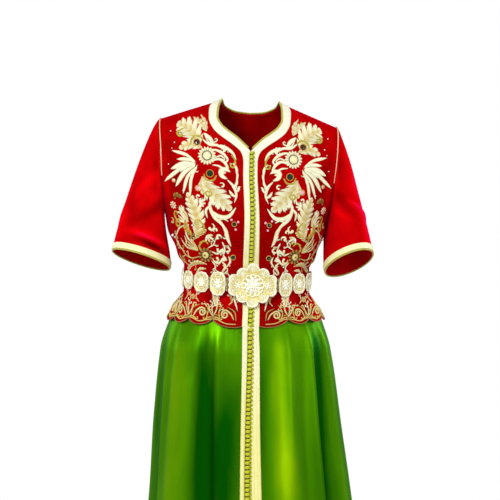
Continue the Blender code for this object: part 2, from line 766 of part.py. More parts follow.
def plate_mesh(width, height):
    """An eight-sided plate with a raised boss, its back in the plane y = 0."""
    bm = bmesh.new()
    bmesh.ops.create_cone(
        bm, cap_ends=True, segments=PLATE_SIDES,
        radius1=0.5 / cos(pi / PLATE_SIDES), radius2=0.5 / cos(pi / PLATE_SIDES), depth=1.0,
    )
    lie = Matrix.Rotation(pi / 2, 4, "X") @ Matrix.Rotation(pi / PLATE_SIDES, 4, "Z")
    bmesh.ops.transform(bm, matrix=lie, verts=bm.verts)
    bmesh.ops.translate(bm, vec=(0, -0.5, 0), verts=bm.verts)
    bmesh.ops.scale(bm, vec=(width, PLATE_THICK, height), verts=bm.verts)
    front = min(bm.faces, key=lambda face: face.calc_center_median().y)
    bmesh.ops.inset_individual(bm, faces=[front], thickness=PLATE_RIM * width)
    bmesh.ops.translate(bm, vec=(0, -PLATE_BOSS, 0), verts=front.verts)
    bmesh.ops.recalc_face_normals(bm, faces=bm.faces)
    mesh = bpy.data.meshes.new("belt_plate")
    bm.to_mesh(mesh)
    bm.free()
    return mesh


def place_between(obj, start, end):
    """Puts an object midway between two points, its X along them."""
    obj.location = (start + end) / 2
    obj.rotation_euler = (0, 0, atan2(end.y - start.y, end.x - start.x))


def lobed_ring(scale, y):
    """The buckle's outline at this scale, bent round the waist, y in front of its back."""
    ring = []
    for k in range(BUCKLE_POINTS):
        turn = 2 * pi * k / BUCKLE_POINTS
        reach = 0.0
        for x, z, radius in BUCKLE_LOBES:
            along = x * cos(turn) + z * sin(turn)
            inside = radius * radius - (x * x + z * z - along * along)
            if inside >= 0:
                reach = max(reach, along + sqrt(inside))
        x = scale * reach * cos(turn)
        ring.append(Vector((x, y + x * x / (2 * BUCKLE_BEND), scale * reach * sin(turn))))
    return ring


def make_belt():
    shift, turn, drop = at(STANCE, BELT_Z)
    frame = bpy.data.objects.new("belt_frame", None)
    KAFTAN.objects.link(frame)
    frame.location = (shift, 0, BELT_Z - drop * shift)
    frame.rotation_euler = (0, atan2(drop, 1), radians(turn))
    frame.rotation_mode = "ZYX"
    face = -at(BODY, BELT_Z)[1] - BUCKLE_STAND
    buckle = loft("belt_buckle", METAL_LOOK, [
        lobed_ring(0.25, face),
        lobed_ring(1.0, face),
        lobed_ring(1.0, face - 0.7 * BUCKLE_THICK),
        lobed_ring(0.93, face - BUCKLE_THICK),
        lobed_ring(0.55, face - BUCKLE_THICK - 0.7 * BUCKLE_DOME),
        lobed_ring(0.22, face - BUCKLE_THICK - BUCKLE_DOME),
    ], frame)
    buckle.location = (BELT_SHIFT, 0, BELT_DIP * face)
    for hand, name in ((1, "left"), (-1, "right")):
        side_ends = [Vector((hand * p.x, p.y, p.z)) for p in belt_ends(hand)]
        for k, (width, height) in enumerate(PLATES):
            start, end = side_ends[2 * k + 1], side_ends[2 * k + 2]
            plate = link(f"belt_plate_{name}_{k + 1}", plate_mesh(width, height), METAL_LOOK, frame)
            place_between(plate, *((start, end) if hand > 0 else (end, start)))
        for k in range(len(PLATES) + 1):
            start, end = side_ends[2 * k], side_ends[2 * k + 1]
            heights = [height for _, height in (*PLATES, BACK_PLATE)]
            radius = (end - start).length / 2 - LAY_GAP
            barrel = hinge_mesh(radius, HINGE_SHARE * heights[k])
            hinge = link(f"belt_hinge_{name}_{k + 1}", barrel, METAL_LOOK, frame)
            along = (end - start).normalized() * hand
            hinge.location = (start + end) / 2 + Vector((along.y, -along.x, 0)) * radius
    back = link("belt_plate_back", plate_mesh(*BACK_PLATE), METAL_LOOK, frame)
    end = side_ends[-1]
    place_between(back, Vector((abs(end.x), end.y, end.z)), Vector((-abs(end.x), end.y, end.z)))


def hinge_mesh(radius, height):
    bm = bmesh.new()
    bmesh.ops.create_cone(
        bm, cap_ends=True, segments=6, radius1=radius, radius2=radius, depth=height
    )
    mesh = bpy.data.meshes.new("belt_hinge")
    bm.to_mesh(mesh)
    bm.free()
    return mesh


# ---------------------------------------------------------------- the scene

for old in list(bpy.data.objects):
    bpy.data.objects.remove(old)
KAFTAN = bpy.data.collections.new("moroccan_kaftan")
bpy.context.scene.collection.children.link(KAFTAN)

VELVET_LOOK = material("red_velvet", (0.52, 0.002, 0.006), 0.75)
SATIN_LOOK = material("green_satin", (0.14, 0.33, 0.0), 0.35)
BRAID_LOOK = material("cream_gold_braid", (0.85, 0.74, 0.42), 0.5)
CORD_LOOK = material("olive_gold_cord", (0.42, 0.38, 0.05), 0.5)
PIPING_LOOK = material("rose_gold_piping", (0.80, 0.45, 0.25), 0.5)
METAL_LOOK = material("gilt_filigree", (0.85, 0.72, 0.42), 0.3, 1.0)

make_bodice()
for hand_name in SLEEVES:
    make_sleeve(hand_name)
make_skirt()
bodice_levels = [row[0].z for row in front_quarter()[FRONT_NECK_ROWS - 1:]]
make_button_row("bodice_button_row", bodice_levels, [0.0] * len(bodice_levels))
skirt_levels = SKIRT_ROWS_Z[SKIRT_HIDDEN_ROWS:]
make_button_row("skirt_button_row", skirt_levels, [skirt_inset(z) for z in skirt_levels])
make_belt()
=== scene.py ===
# %% [markdown]
# # A Moroccan kaftan
# The garment is worn, so it stands in the air in the form that a body gives it: a red velvet
# bodice with short sleeves and a scalloped peplum, gold embroidery on both fronts, a flat braid
# down the opening with a row of knotted buttons, a green satin skirt and a belt of gilt plates.
# Everything hangs on one idea: a smooth figure, given by a few sections, that any panel, braid or
# motif can be laid on. So the figure comes first, and then the pieces, from the cloth outward.

from math import cos, pi, radians, sin

import bmesh
import bpy
import numpy as np
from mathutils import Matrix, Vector


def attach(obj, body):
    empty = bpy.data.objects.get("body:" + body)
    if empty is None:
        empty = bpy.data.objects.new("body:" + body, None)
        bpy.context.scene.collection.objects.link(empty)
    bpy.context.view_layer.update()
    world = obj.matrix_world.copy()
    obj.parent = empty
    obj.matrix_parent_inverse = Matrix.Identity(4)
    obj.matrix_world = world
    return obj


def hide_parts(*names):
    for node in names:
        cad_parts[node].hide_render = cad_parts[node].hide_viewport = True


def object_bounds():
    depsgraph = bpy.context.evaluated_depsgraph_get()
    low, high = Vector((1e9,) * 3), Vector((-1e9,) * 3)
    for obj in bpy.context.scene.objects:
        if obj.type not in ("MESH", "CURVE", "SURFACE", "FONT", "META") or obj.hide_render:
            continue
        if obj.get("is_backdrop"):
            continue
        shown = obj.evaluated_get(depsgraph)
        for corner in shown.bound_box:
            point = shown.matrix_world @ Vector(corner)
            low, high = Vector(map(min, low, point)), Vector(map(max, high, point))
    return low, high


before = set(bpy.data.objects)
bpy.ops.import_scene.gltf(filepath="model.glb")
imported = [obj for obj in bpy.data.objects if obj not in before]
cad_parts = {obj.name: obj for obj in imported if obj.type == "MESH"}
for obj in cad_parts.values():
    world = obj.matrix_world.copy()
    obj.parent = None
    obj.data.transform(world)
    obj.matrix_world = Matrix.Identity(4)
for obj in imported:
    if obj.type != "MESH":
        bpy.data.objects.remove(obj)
CAD_BOX = [list(corner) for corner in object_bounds()]
print("CAD box, m:", [[round(c, 3) for c in corner] for corner in CAD_BOX])

# %% [markdown]
# ## Camera, light and floor
# A long lens from 2.6 m keeps the proportions true, a little above the belt and looking slightly
# down. The light is a white studio: one large soft panel in front and above, a weak one beside it,
# and one behind each shoulder to catch the pile and the satin. The world is pure white where it is
# seen, but lights the garment with much less, so that the folds keep their shade.

# %% Camera
AIM = Vector((-0.0033, 0.0, -0.322))
CAMERA_DISTANCE, CAMERA_RISE = 2.6, radians(3.5)
LENS, SENSOR = 85, 36  # millimetres

camera = bpy.data.objects.new("camera", bpy.data.cameras.new("camera"))
camera.data.lens, camera.data.sensor_width = LENS, SENSOR
away = Vector((0, -cos(CAMERA_RISE), sin(CAMERA_RISE)))
camera.location = AIM + away * CAMERA_DISTANCE
camera.rotation_euler = away.to_track_quat("Z", "Y").to_euler()
bpy.context.scene.collection.objects.link(camera)
bpy.context.scene.camera = camera
print("camera at", [round(c, 3) for c in camera.location])

# %% Light
scene = bpy.context.scene
scene.view_settings.view_transform = "Standard"
CHEST = Vector((0, 0, -0.35))
SEEN_WHITE, ROOM_LIGHT = 1.0, 0.38
LIGHTS = {  # place, size and power
    "key": ((-1.1, -2.6, 1.2), 1.1, 76),
    "fill": ((1.9, -2.2, 0.2), 1.4, 16),
    "rim_left": ((2.4, 0.9, 0.45), 1.6, 40),
    "rim_right": ((-2.4, 1.0, 0.5), 1.6, 22),
}
for name, (place, width, power) in LIGHTS.items():
    light = bpy.data.lights.new(name, "AREA")
    light.size, light.energy = width, power
    lamp = bpy.data.objects.new(name, light)
    lamp.location = place
    lamp.rotation_euler = (Vector(place) - CHEST).to_track_quat("Z", "Y").to_euler()
    scene.collection.objects.link(lamp)

world = bpy.data.worlds.new("white_room")
world.use_nodes = True
nodes, links = world.node_tree.nodes, world.node_tree.links
background = nodes["Background"]
background.inputs["Color"].default_value = (1, 1, 1, 1)
seen = nodes.new("ShaderNodeMapRange")
seen.inputs["To Min"].default_value, seen.inputs["To Max"].default_value = ROOM_LIGHT, SEEN_WHITE
links.new(nodes.new("ShaderNodeLightPath").outputs["Is Camera Ray"], seen.inputs["Value"])
links.new(seen.outputs["Result"], background.inputs["Strength"])
scene.world = world
print("lights:", list(LIGHTS))

# %% Floor
FLOOR_Z, FLOOR_RADIUS = -1.475, 1.9

floor_mesh = bpy.data.meshes.new("floor")
bm = bmesh.new()
bmesh.ops.create_circle(bm, cap_ends=True, segments=128, radius=FLOOR_RADIUS)
bmesh.ops.translate(bm, vec=(0, 0, FLOOR_Z), verts=bm.verts)
bm.to_mesh(floor_mesh)
bm.free()
floor = bpy.data.objects.new("floor", floor_mesh)
scene.collection.objects.link(floor)
floor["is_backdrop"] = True

# %% [markdown]
# ## Writing shader maths as sentences
# Cloth, thread and metal all need patterns that are sums and products of simple waves and noises.
# A small class wraps a node's output, so that `a * 2 + b` adds the Math nodes by itself, and one
# function makes any other node from its type, its settings and what feeds it.


# %% A socket that does arithmetic
class Wave:
    """A shader value: arithmetic on it adds Math nodes to its tree."""

    def __init__(self, tree, socket):
        self.tree, self.socket = tree, socket

    def math(self, operation, *others):
        values = dict(enumerate((self, *others)))
        return add_node(self.tree, "Math", {"operation": operation}, values)

    def clamped(self):
        return add_node(self.tree, "Clamp", {}, {"Value": self})

    def __add__(self, other):
        return self.math("ADD", other)

    def __sub__(self, other):
        return self.math("SUBTRACT", other)

    def __rsub__(self, other):
        return self * -1.0 + other

    def __mul__(self, other):
        return self.math("MULTIPLY", other)

    def __pow__(self, other):
        return self.math("POWER", other)

    __radd__, __rmul__ = __add__, __mul__


def feed(tree, place, value):
    """Puts a number, a colour or another node's output into an input socket."""
    if isinstance(value, Wave):
        tree.links.new(value.socket, place)
    else:
        place.default_value = value


def add_node(tree, kind, settings, inputs, output=0):
    """Any shader node: its settings are set first, and then its inputs, by name or by place."""
    node = tree.nodes.new("ShaderNode" + kind)
    for key, value in settings.items():
        setattr(node, key, value)
    for key, value in inputs.items():
        feed(tree, node.inputs[key], value)
    return Wave(tree, node.outputs[output])


# %% Colours that run into each other
def blend(tree, part, low, high):
    """A colour between two, by a value from 0 to 1."""
    low, high = (color if isinstance(color, Wave) else (*color, 1) for color in (low, high))
    return add_node(tree, "Mix", {"data_type": "RGBA"}, {0: part, 6: low, 7: high}, 2)


def shades(tree, tone, color, *others):
    """A colour that runs through several, each half a unit of tone after the last."""
    for k, other in enumerate(others):
        color = blend(tree, (tone * 2.0 - k).clamped(), color, other)
    return color


# %% What a finish may follow: the place on the piece, its own map, or a tone at its points
def place_of(tree, stretch=(1, 1, 1)):
    """The object's own coordinates, in metres, stretched by a scale."""
    where = add_node(tree, "TexCoord", {}, {}, "Object")
    return add_node(tree, "Mapping", {}, {"Vector": where, "Scale": stretch})


def height_of(tree):
    """Metres above the neck: below zero on nearly all of the garment."""
    return add_node(tree, "SeparateXYZ", {}, {0: place_of(tree)}, 2)


def noise(tree, size, detail=2.0, rough=0.5, stretch=(1, 1, 1)):
    """Soft patches from 0 to 1, `size` of them to the metre."""
    where = place_of(tree, stretch)
    inputs = {"Vector": where, "Scale": size, "Detail": detail, "Roughness": rough}
    return add_node(tree, "TexNoise", {}, inputs)


def uv_parts(tree):
    """The two parts of a piece's own UV: across it from 0 to 1, and along it in metres."""
    where = add_node(tree, "TexCoord", {}, {}, "UV")
    across = add_node(tree, "SeparateXYZ", {}, {0: where})
    return across, Wave(tree, across.socket.node.outputs[1])


def tone_of(tree):
    """The tone that a mesh carries at each of its points."""
    return add_node(tree, "Attribute", {"attribute_name": "tone"}, {}, "Fac")


def finish_of(name, slot, color, roughness, bump=None, bump_depth=0.0003, **constants):
    """A material: colour, roughness and height may vary, and everything else is a number."""
    made = bpy.data.materials.new(name)
    made.use_nodes = True
    tree = made.node_tree
    shader = tree.nodes["Principled BSDF"]
    for key, value in constants.items():
        shader.inputs[key.replace("_", " ")].default_value = value
    feed(tree, shader.inputs["Base Color"], color(tree))
    feed(tree, shader.inputs["Roughness"], roughness(tree) if callable(roughness) else roughness)
    if bump:
        surface = add_node(tree, "Bump", {}, {"Distance": bump_depth, "Height": bump(tree)})
        feed(tree, shader.inputs["Normal"], surface)
    return made


floor_look = finish_of(
    "white_floor", None,
    color=lambda t: blend(t, noise(t, 0.8), (0.80, 0.80, 0.80), (0.86, 0.86, 0.86)),
    roughness=lambda t: noise(t, 3.0) * 0.2 + 0.45,
)
floor_mesh.materials.append(floor_look)

# %% [markdown]
# ## The figure
# A garment has no thickness worth speaking of, so its form is all in the figure that it is laid
# on. Each section is a rounded rectangle: a half width, a depth in front and behind, and how square
# it is. The panels are laid out on a symmetric figure and then moved into the stance, in which the
# shoulders slope one way and the hips turn the other.

# %% Sizes of the cut
VELVET_WALL, SATIN_WALL, BRAID_WALL = 0.0014, 0.0012, 0.0014
SEAM_GAP, SIDE_GAP, LAY_GAP = 0.00035, 0.00002, 0.0004
SHOULDER_IN, SHOULDER_OUT = (0.064, 0.003), (0.194, -0.045)
ROLL_Z, UNDERARM_Z, PEPLUM_Z, HEM_Z = -0.155, -0.250, -0.4640, -1.450
SCALLOPS = (0.0165, 0.0110, 0.0100, 0.0100)
BELT_Z = -0.385

# %% Sections of the figure: height, half width, front, back, squareness
BODY = (
    (0.04, 0.27, 0.09, 0.098, 2.3), (-0.045, 0.262, 0.093, 0.1, 2.3), (-0.107, 0.24, 0.097, 0.104, 2.3),
    (-0.155, 0.222, 0.108, 0.107, 2.3), (-0.205, 0.1965, 0.12, 0.107, 2.3),
    (-0.25, 0.1765, 0.124, 0.104, 2.3), (-0.284, 0.1715, 0.118, 0.1, 2.3),
    (-0.317, 0.1565, 0.106, 0.094, 2.25), (-0.339, 0.1505, 0.0978, 0.089, 2.2),
    (-0.357, 0.138, 0.0968, 0.086, 2.2), (-0.413, 0.138, 0.0968, 0.086, 2.2),
    (-0.431, 0.15, 0.0982, 0.095, 2.2), (-0.45, 0.164, 0.106, 0.105, 2.2),
    (-0.483, 0.177, 0.114, 0.117, 2.2), (-0.575, 0.192, 0.126, 0.135, 2.15),
    (-0.677, 0.203, 0.141, 0.148, 2.1), (-0.873, 0.223, 0.166, 0.17, 2.05),
    (-1.15, 0.255, 0.194, 0.199, 2), (-1.45, 0.288, 0.222, 0.226, 2),
)

# %% The stance: height, shift to +X, turn in degrees, drop for each metre of X
STANCE = (
    (0.04, 0, 0, 0.052), (-0.045, -0.006, 2, 0.05), (-0.107, -0.0085, 3.9, 0.048),
    (-0.18, -0.0132, 5.6, 0.045), (-0.25, -0.013, 6.4, 0.042), (-0.335, -0.0106, 5.5, 0.03),
    (-0.435, -0.0106, 5.5, 0.03), (-0.483, -0.0128, 5.5, 0.006), (-0.677, -0.011, 3.5, 0),
    (-0.873, -0.0048, 1.2, 0), (-1.45, 0, 0.8, 0),
)

# %% Necklines, braid width and armhole: x and z of the edge, then of the braid's outer edge
FRONT_NECK = (
    (0, 0.064, 0.003, 0.081, -0.0033), (1, 0.0702, -0.015, 0.0875, -0.02),
    (2, 0.0712, -0.036, 0.0868, -0.042), (3, 0.0625, -0.0545, 0.0765, -0.0645),
    (4, 0.0483, -0.067, 0.0585, -0.08), (5, 0.029, -0.0808, 0.0365, -0.095),
    (6, 0.0108, -0.0975, 0.019, -0.111), (7, 0.0003, -0.107, 0.015, -0.125),
)
BACK_NECK = (
    (0, 0.064, 0.003, 0.081, -0.0033), (1, 0.06, -0.006, 0.076, -0.015),
    (2, 0.048, -0.014, 0.059, -0.027), (3, 0.028, -0.02, 0.034, -0.0355), (4, 0, -0.022, 0, -0.038),
)
PLACKET = (
    (-0.1, 0.0145), (-0.48, 0.018), (-0.677, 0.02), (-0.873, 0.023), (-1.45, 0.025),
)
ARMHOLE = (
    (-0.045, 0.194), (-0.11, 0.19), (-0.17, 0.185), (-0.215, 0.1805), (-0.25, 0.1765),
)


# %% Reading a table, and the figure's surface
def mix(a, b, t):
    return a + (b - a) * t


def smooth(t):
    t = np.clip(t, 0.0, 1.0)
    return t * t * (3 - 2 * t)


def unit(vectors):
    return vectors / np.linalg.norm(vectors, axis=-1, keepdims=True)


def at(table, key):
    """The other columns of a table at these values of its first: smooth, and without overshoot."""
    rows = np.array(sorted(table), float)
    keys, values = rows[:, 0], rows[:, 1:]
    key = np.clip(np.asarray(key, float), keys[0], keys[-1])
    i = np.clip(np.searchsorted(keys, key, side="right") - 1, 0, len(keys) - 2)
    rises = np.diff(values, axis=0) / np.diff(keys)[:, None]
    product, total = rises[:-1] * rises[1:], rises[:-1] + rises[1:]
    slopes = np.zeros_like(values)
    slopes[1:-1] = np.where(product > 0, 2 * product / np.where(product > 0, total, 1), 0)
    step = (keys[i + 1] - keys[i])[..., None]
    t = (key - keys[i])[..., None] / step
    level = mix(values[i], values[i + 1], t * t * (3 - 2 * t))
    return level + step * (slopes[i] * t * (1 - t) ** 2 - slopes[i + 1] * t * t * (1 - t))


def shoulder_z(x):
    """The height of the shoulder seam."""
    (x_in, z_in), (x_out, z_out) = SHOULDER_IN, SHOULDER_OUT
    return mix(z_in, z_out, (np.abs(x) - x_in) / (x_out - x_in))


def on_figure(x, z, side):
    """Points of the figure at x and z, side -1 on the front and 1 on the back."""
    x, z = np.broadcast_arrays(np.asarray(x, float), np.asarray(z, float))
    width, front, back, square = np.moveaxis(at(BODY, z), -1, 0)
    flat = np.maximum(0, 1 - (np.abs(x) / width) ** square) ** (1 / square)
    rolled = np.clip((z - ROLL_Z) / (shoulder_z(x) - ROLL_Z), 0, 1)
    depth = (front if side < 0 else back) * flat * np.sqrt(1 - rolled**2)
    return np.stack([x, side * np.maximum(depth, SIDE_GAP), z], -1)


def outward(x, z, side):
    """The figure's normals at x and z."""
    step = 0.0008
    across = on_figure(x + step, z, side)[..., 1] - on_figure(x - step, z, side)[..., 1]
    down = on_figure(x, z + step, side)[..., 1] - on_figure(x, z - step, side)[..., 1]
    return unit(np.stack([-side * across, side * 2 * step + 0 * across, -side * down], -1))


def posed(points):
    """Points of the symmetric figure, moved into the stance."""
    shift, turn, drop = np.moveaxis(at(STANCE, points[..., 2]), -1, 0)
    c, s = np.cos(np.radians(turn)), np.sin(np.radians(turn))
    x = points[..., 0] * c - points[..., 1] * s + shift
    y = points[..., 0] * s + points[..., 1] * c
    return np.stack([x, y, points[..., 2] - drop * x], -1)


def section_point(turn, z, side):
    """Points of the section at z, turned from the centre front or back to the side."""
    turn, z = np.broadcast_arrays(np.asarray(turn, float), np.asarray(z, float))
    width, front, back, square = np.moveaxis(at(BODY, z), -1, 0)
    depth = (front if side < 0 else back) * np.abs(np.cos(turn)) ** (2 / square)
    x = width * np.abs(np.sin(turn)) ** (2 / square)
    return np.stack([x, side * np.maximum(depth, SIDE_GAP), z], -1)


def braid_turn(z):
    """How far round the section a front's braid reaches, in radians."""
    width, _, _, square = np.moveaxis(at(BODY, z), -1, 0)
    return np.arcsin((at(PLACKET, z)[..., 0] / width) ** (square / 2))


# %% Walking along a line
def length_of(points):
    return np.linalg.norm(np.diff(points, axis=0), axis=1).sum()


def travelled(points):
    """How far along a polyline each of its points is."""
    return np.r_[0, np.cumsum(np.linalg.norm(np.diff(points, axis=0), axis=1))]


def spread(points, count, crowd=1.0):
    """Where `count` places lie along a polyline: even by length, or crowded at its start."""
    run = travelled(points)
    share = (np.arange(count) / (count - 1)) ** crowd
    return np.interp(share * run[-1], run, np.arange(len(points)))


def along(points, places):
    """Points of a polyline at these places."""
    return np.stack([np.interp(places, np.arange(len(points)), c) for c in points.T], -1)


waist = 4 * length_of(section_point(np.linspace(0, pi / 2, 90), BELT_Z, -1))
print("waist, m round:", round(waist, 3))

# %% [markdown]
# ## Creases
# Velvet on a body is never quite smooth: it dents under the arm, gathers above the belt and flutes below
# it. Each crease is a segment on the cloth with a half width and a height, a trough where that is below
# zero. They are listed one by one, and no two are alike. Where a panel meets its seam or its braid, they
# fade out, so that neighbours still meet.


# %% Soft troughs and ridges
def creases(u, v, table):
    """The height of all the creases of a table at u, v: start, end, half width, height."""
    total = np.zeros(np.broadcast(u, v).shape)
    for u0, v0, u1, v1, width, height in table:
        du, dv = u1 - u0, v1 - v0
        part = ((u - u0) * du + (v - v0) * dv) / (du * du + dv * dv)
        held = np.clip(part, 0, 1)
        away = np.hypot(u - u0 - held * du, v - v0 - held * dv)
        total += height * np.exp(-((away / width) ** 2)) * (0.4 + 0.6 * np.sin(pi * held))
    return total

# %% The bodice's creases, in millimetres: x and z of the start and the end, half width, height
FRONT_CREASES = (
    (172, -120, 150, -215, 16, -4), (186, -140, 172, -225, 9, 2.2), (150, -232, 98, -262, 12, -2.2),
    (158, -262, 118, -292, 10, 1.6), (126, -335, 118, -372, 8, -2.4), (90, -338, 86, -376, 9, 1.8),
    (52, -342, 50, -376, 8, -1.6), (46, -140, 40, -300, 14, -1.4), (146, -400, 158, -470, 11, 4),
    (112, -402, 126, -472, 10, -3.4), (78, -406, 88, -474, 11, 3), (44, -410, 48, -474, 10, -2.2),
    (-168, -110, -152, -205, 14, -3.4), (-186, -150, -170, -232, 10, 2.6),
    (-152, -226, -90, -250, 13, -2), (-160, -258, -112, -300, 10, 1.8),
    (-130, -338, -122, -376, 9, 2.2), (-96, -336, -92, -372, 8, -2), (-58, -340, -55, -378, 9, 1.4),
    (-50, -150, -42, -290, 15, -1.2), (-150, -402, -164, -470, 10, -3.6),
    (-118, -402, -130, -474, 11, 3.6), (-82, -404, -92, -470, 10, -2.8),
    (-48, -410, -54, -474, 11, 2.2),
)
BACK_CREASES = (
    (170, -110, 128, -232, 18, -4), (100, -120, 128, -210, 20, 2.4), (0, -60, 0, -230, 30, -3),
    (120, -250, 70, -350, 12, 2.6), (70, -262, 46, -362, 11, -2.6), (24, -280, 18, -372, 9, 2),
    (-12, -300, -16, -376, 9, -2), (-56, -270, -40, -366, 12, 2.8), (-118, -244, -82, -352, 13, -3),
    (-160, -130, -118, -226, 18, -3.6), (134, -404, 150, -472, 11, -3.4),
    (96, -402, 108, -474, 12, 3.8), (52, -402, 58, -472, 11, -3), (6, -404, 4, -474, 12, 3.2),
    (-40, -402, -46, -472, 11, -3.2), (-86, -404, -98, -474, 12, 3.6), (-130, -402, -146, -472, 11, -3),
)

# %% The velvet's surface
SEAM_FADE, BRAID_FADE = 0.012, 0.022
FRONT_FADE, BACK_FADE = (-0.075, 0.03), (-0.045, 0.02)  # where creases begin, and how softly


def relief(x, z, side):
    """How far the velvet stands off the figure at signed x and z; nothing at its edges."""
    table, (top, soft) = (FRONT_CREASES, FRONT_FADE) if side < 0 else (BACK_CREASES, BACK_FADE)
    armhole = np.where(z > UNDERARM_Z, at(ARMHOLE, z)[..., 0], at(BODY, z)[..., 0])
    fade = smooth((armhole - np.abs(x)) / SEAM_FADE) * smooth((top - z) / soft)
    if side < 0:
        fade = fade * smooth((np.abs(x) - at(PLACKET, z)[..., 0]) / BRAID_FADE)
    return creases(x, z, np.array(table) / 1000) * fade


def lay(x, z, side, hand, lift=0.0):
    """Points on the velvet at x and z, hand 1 on the wearer's left and -1 on the right, in the
    stance; lift is how far off the cloth."""
    away = relief(hand * x, z, side) + lift
    points = on_figure(x, z, side) + outward(x, z, side) * away[..., None]
    points[..., 0] *= hand
    return posed(points)

# %% [markdown]
# ## Turning points into cloth
# Every panel is a grid of points: rows run down it and columns run round the body, so that its
# faces look outward. The grid becomes a mesh, and Solidify gives it the cloth's own thickness.


# %% A grid becomes a mesh
def put_in_scene(mesh, material, node=None):
    """A finished piece: its finish and the node that it stands for."""
    mesh.materials.append(material)
    obj = bpy.data.objects.new(mesh.name, mesh)
    scene.collection.objects.link(obj)
    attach(obj, "root")
    if node:
        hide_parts(node)
    print(f"{mesh.name}: {len(mesh.polygons)} faces")
    return obj


def grid_faces(rows, columns, ring=False, start=0):
    """Four corners for each cell of a grid of points, numbered row by row."""
    r, k = np.meshgrid(np.arange(rows - 1), np.arange(columns - (not ring)), indexing="ij")
    n = (k + 1) % columns
    corners = (r * columns + k, (r + 1) * columns + k, (r + 1) * columns + n, r * columns + n)
    return np.stack(corners, -1).reshape(-1, 4) + start


def tube_faces(rows, sides, joined=False):
    """Faces of a tube of rings: its last ring meets its first, or each end has a cap."""
    last, faces = (rows - 1) * sides, [tuple(f) for f in grid_faces(rows, sides, True)]
    if joined:
        ends = [(last + k, k, (k + 1) % sides, last + (k + 1) % sides) for k in range(sides)]
        return faces + ends
    return faces + [tuple(range(sides))[::-1], tuple(range(last, last + sides))]


def mesh_of(name, points, faces, uv=None, tone=None, smooth_faces=True):
    """A mesh of points and faces, with a place on its own map and a tone at each point."""
    mesh = bpy.data.meshes.new(name)
    mesh.from_pydata(np.asarray(points).reshape(-1, 3).tolist(), [], [list(f) for f in faces])
    loops = np.zeros(len(mesh.loops), int)
    mesh.loops.foreach_get("vertex_index", loops)
    if uv is not None:
        layer = mesh.uv_layers.new(name="UVMap")
        layer.data.foreach_set("uv", np.asarray(uv, float).reshape(-1, 2)[loops].ravel())
    if tone is not None:
        value = mesh.attributes.new("tone", "FLOAT", "POINT")
        value.data.foreach_set("value", np.asarray(tone, float).ravel())
    if smooth_faces:
        mesh.shade_smooth()
    return mesh


def edited(mesh, edit):
    """The same mesh, after an edit."""
    bm = bmesh.new()
    bm.from_mesh(mesh)
    edit(bm)
    bm.to_mesh(mesh)
    bm.free()
    return mesh


def turned_out(mesh):
    """A closed mesh with every face pointing outward."""
    return edited(mesh, lambda bm: bmesh.ops.recalc_face_normals(bm, faces=bm.faces))


def panel(name, grids, material, wall, node=None, offset=-1, ring=False, uv=None, tone=None):
    """Cloth through grids of points, joined where they share a line, with its thickness."""
    points = np.concatenate([g.reshape(-1, 3) for g in grids])
    starts = np.cumsum([0] + [g.shape[0] * g.shape[1] for g in grids])
    faces = [grid_faces(*g.shape[:2], ring, start) for g, start in zip(grids, starts)]
    mesh = mesh_of(name, points, np.concatenate(faces), uv, tone)
    edited(mesh, lambda bm: bmesh.ops.remove_doubles(bm, verts=bm.verts, dist=SIDE_GAP))
    obj = put_in_scene(mesh, material, node)
    solidify = obj.modifiers.new("Wall", "SOLIDIFY")
    solidify.thickness, solidify.offset, solidify.use_even_offset = wall, offset, False
    return obj

# %% [markdown]
# ## Velvet
# Velvet is a short standing pile. Seen straight on it is deep and dark, and where it turns away it
# catches the light, so its shader is rough with a strong sheen. The pile leans in patches, which
# shows as a slow change of depth, and a fine grain gives it a nap.


# %% Red velvet
def velvet_color(tree):
    """The pile, with painted light: darker in a crease as painted shade, brighter on a ridge as a painted
    highlight, and pink in a painted sheen.
    """
    pile = noise(tree, 26, 3) * 0.44 - 0.22 + tone_of(tree) * 0.5 + 0.5
    deep, red = (0.035, 0.0001, 0.0002), (0.33, 0.0003, 0.0008)
    return shades(tree, pile, deep, red, (0.76, 0.0005, 0.0025), (0.90, 0.0030, 0.0850))


velvet = finish_of(
    "red_velvet", "red_velvet", velvet_color,
    roughness=lambda t: noise(t, 40) * 0.2 + 0.65,
    bump=lambda t: noise(t, 1500, 2, 0.7),
    bump_depth=0.0004,
    Sheen_Weight=0.75,
    Sheen_Roughness=0.24,
    Sheen_Tint=(1.0, 0.0, 0.05, 1.0),
    Specular_IOR_Level=0.0,
)

# %% [markdown]
# ## The bodice
# Each front runs from the neckline to the scallops of the peplum in one piece, and the back is one
# piece too. The first columns of a front lie under the braid: round the neck, then straight down.

# %% Sizes of the bodice's grids
NECK_ROWS, ARMHOLE_ROWS, BODY_COLUMNS, STRIP_COLUMNS = 28, 50, 45, 4
LOWER_END_Z, LOWER_ROWS, HEM_STEPS = -0.450, 26, 5
LOWER_LEVELS = np.linspace(UNDERARM_Z, LOWER_END_Z, LOWER_ROWS + 1)[1:]
BRAIDED_LOBE = 0.3  # how much of a front's first scallop its braid takes up
HANDS = (("left", 1), ("right", -1))


# %% Lines of the cut
def armhole_line(side, count=ARMHOLE_ROWS, inset=0.0):
    """Points of the armhole's edge, from the shoulder seam to the underarm."""
    levels = mix(SHOULDER_OUT[1], UNDERARM_Z, (1 - np.cos(np.linspace(0, pi, 241))) / 2)
    line = on_figure(at(ARMHOLE, levels)[:, 0] - inset, levels, side)
    return along(line, spread(line, count, 1.15))


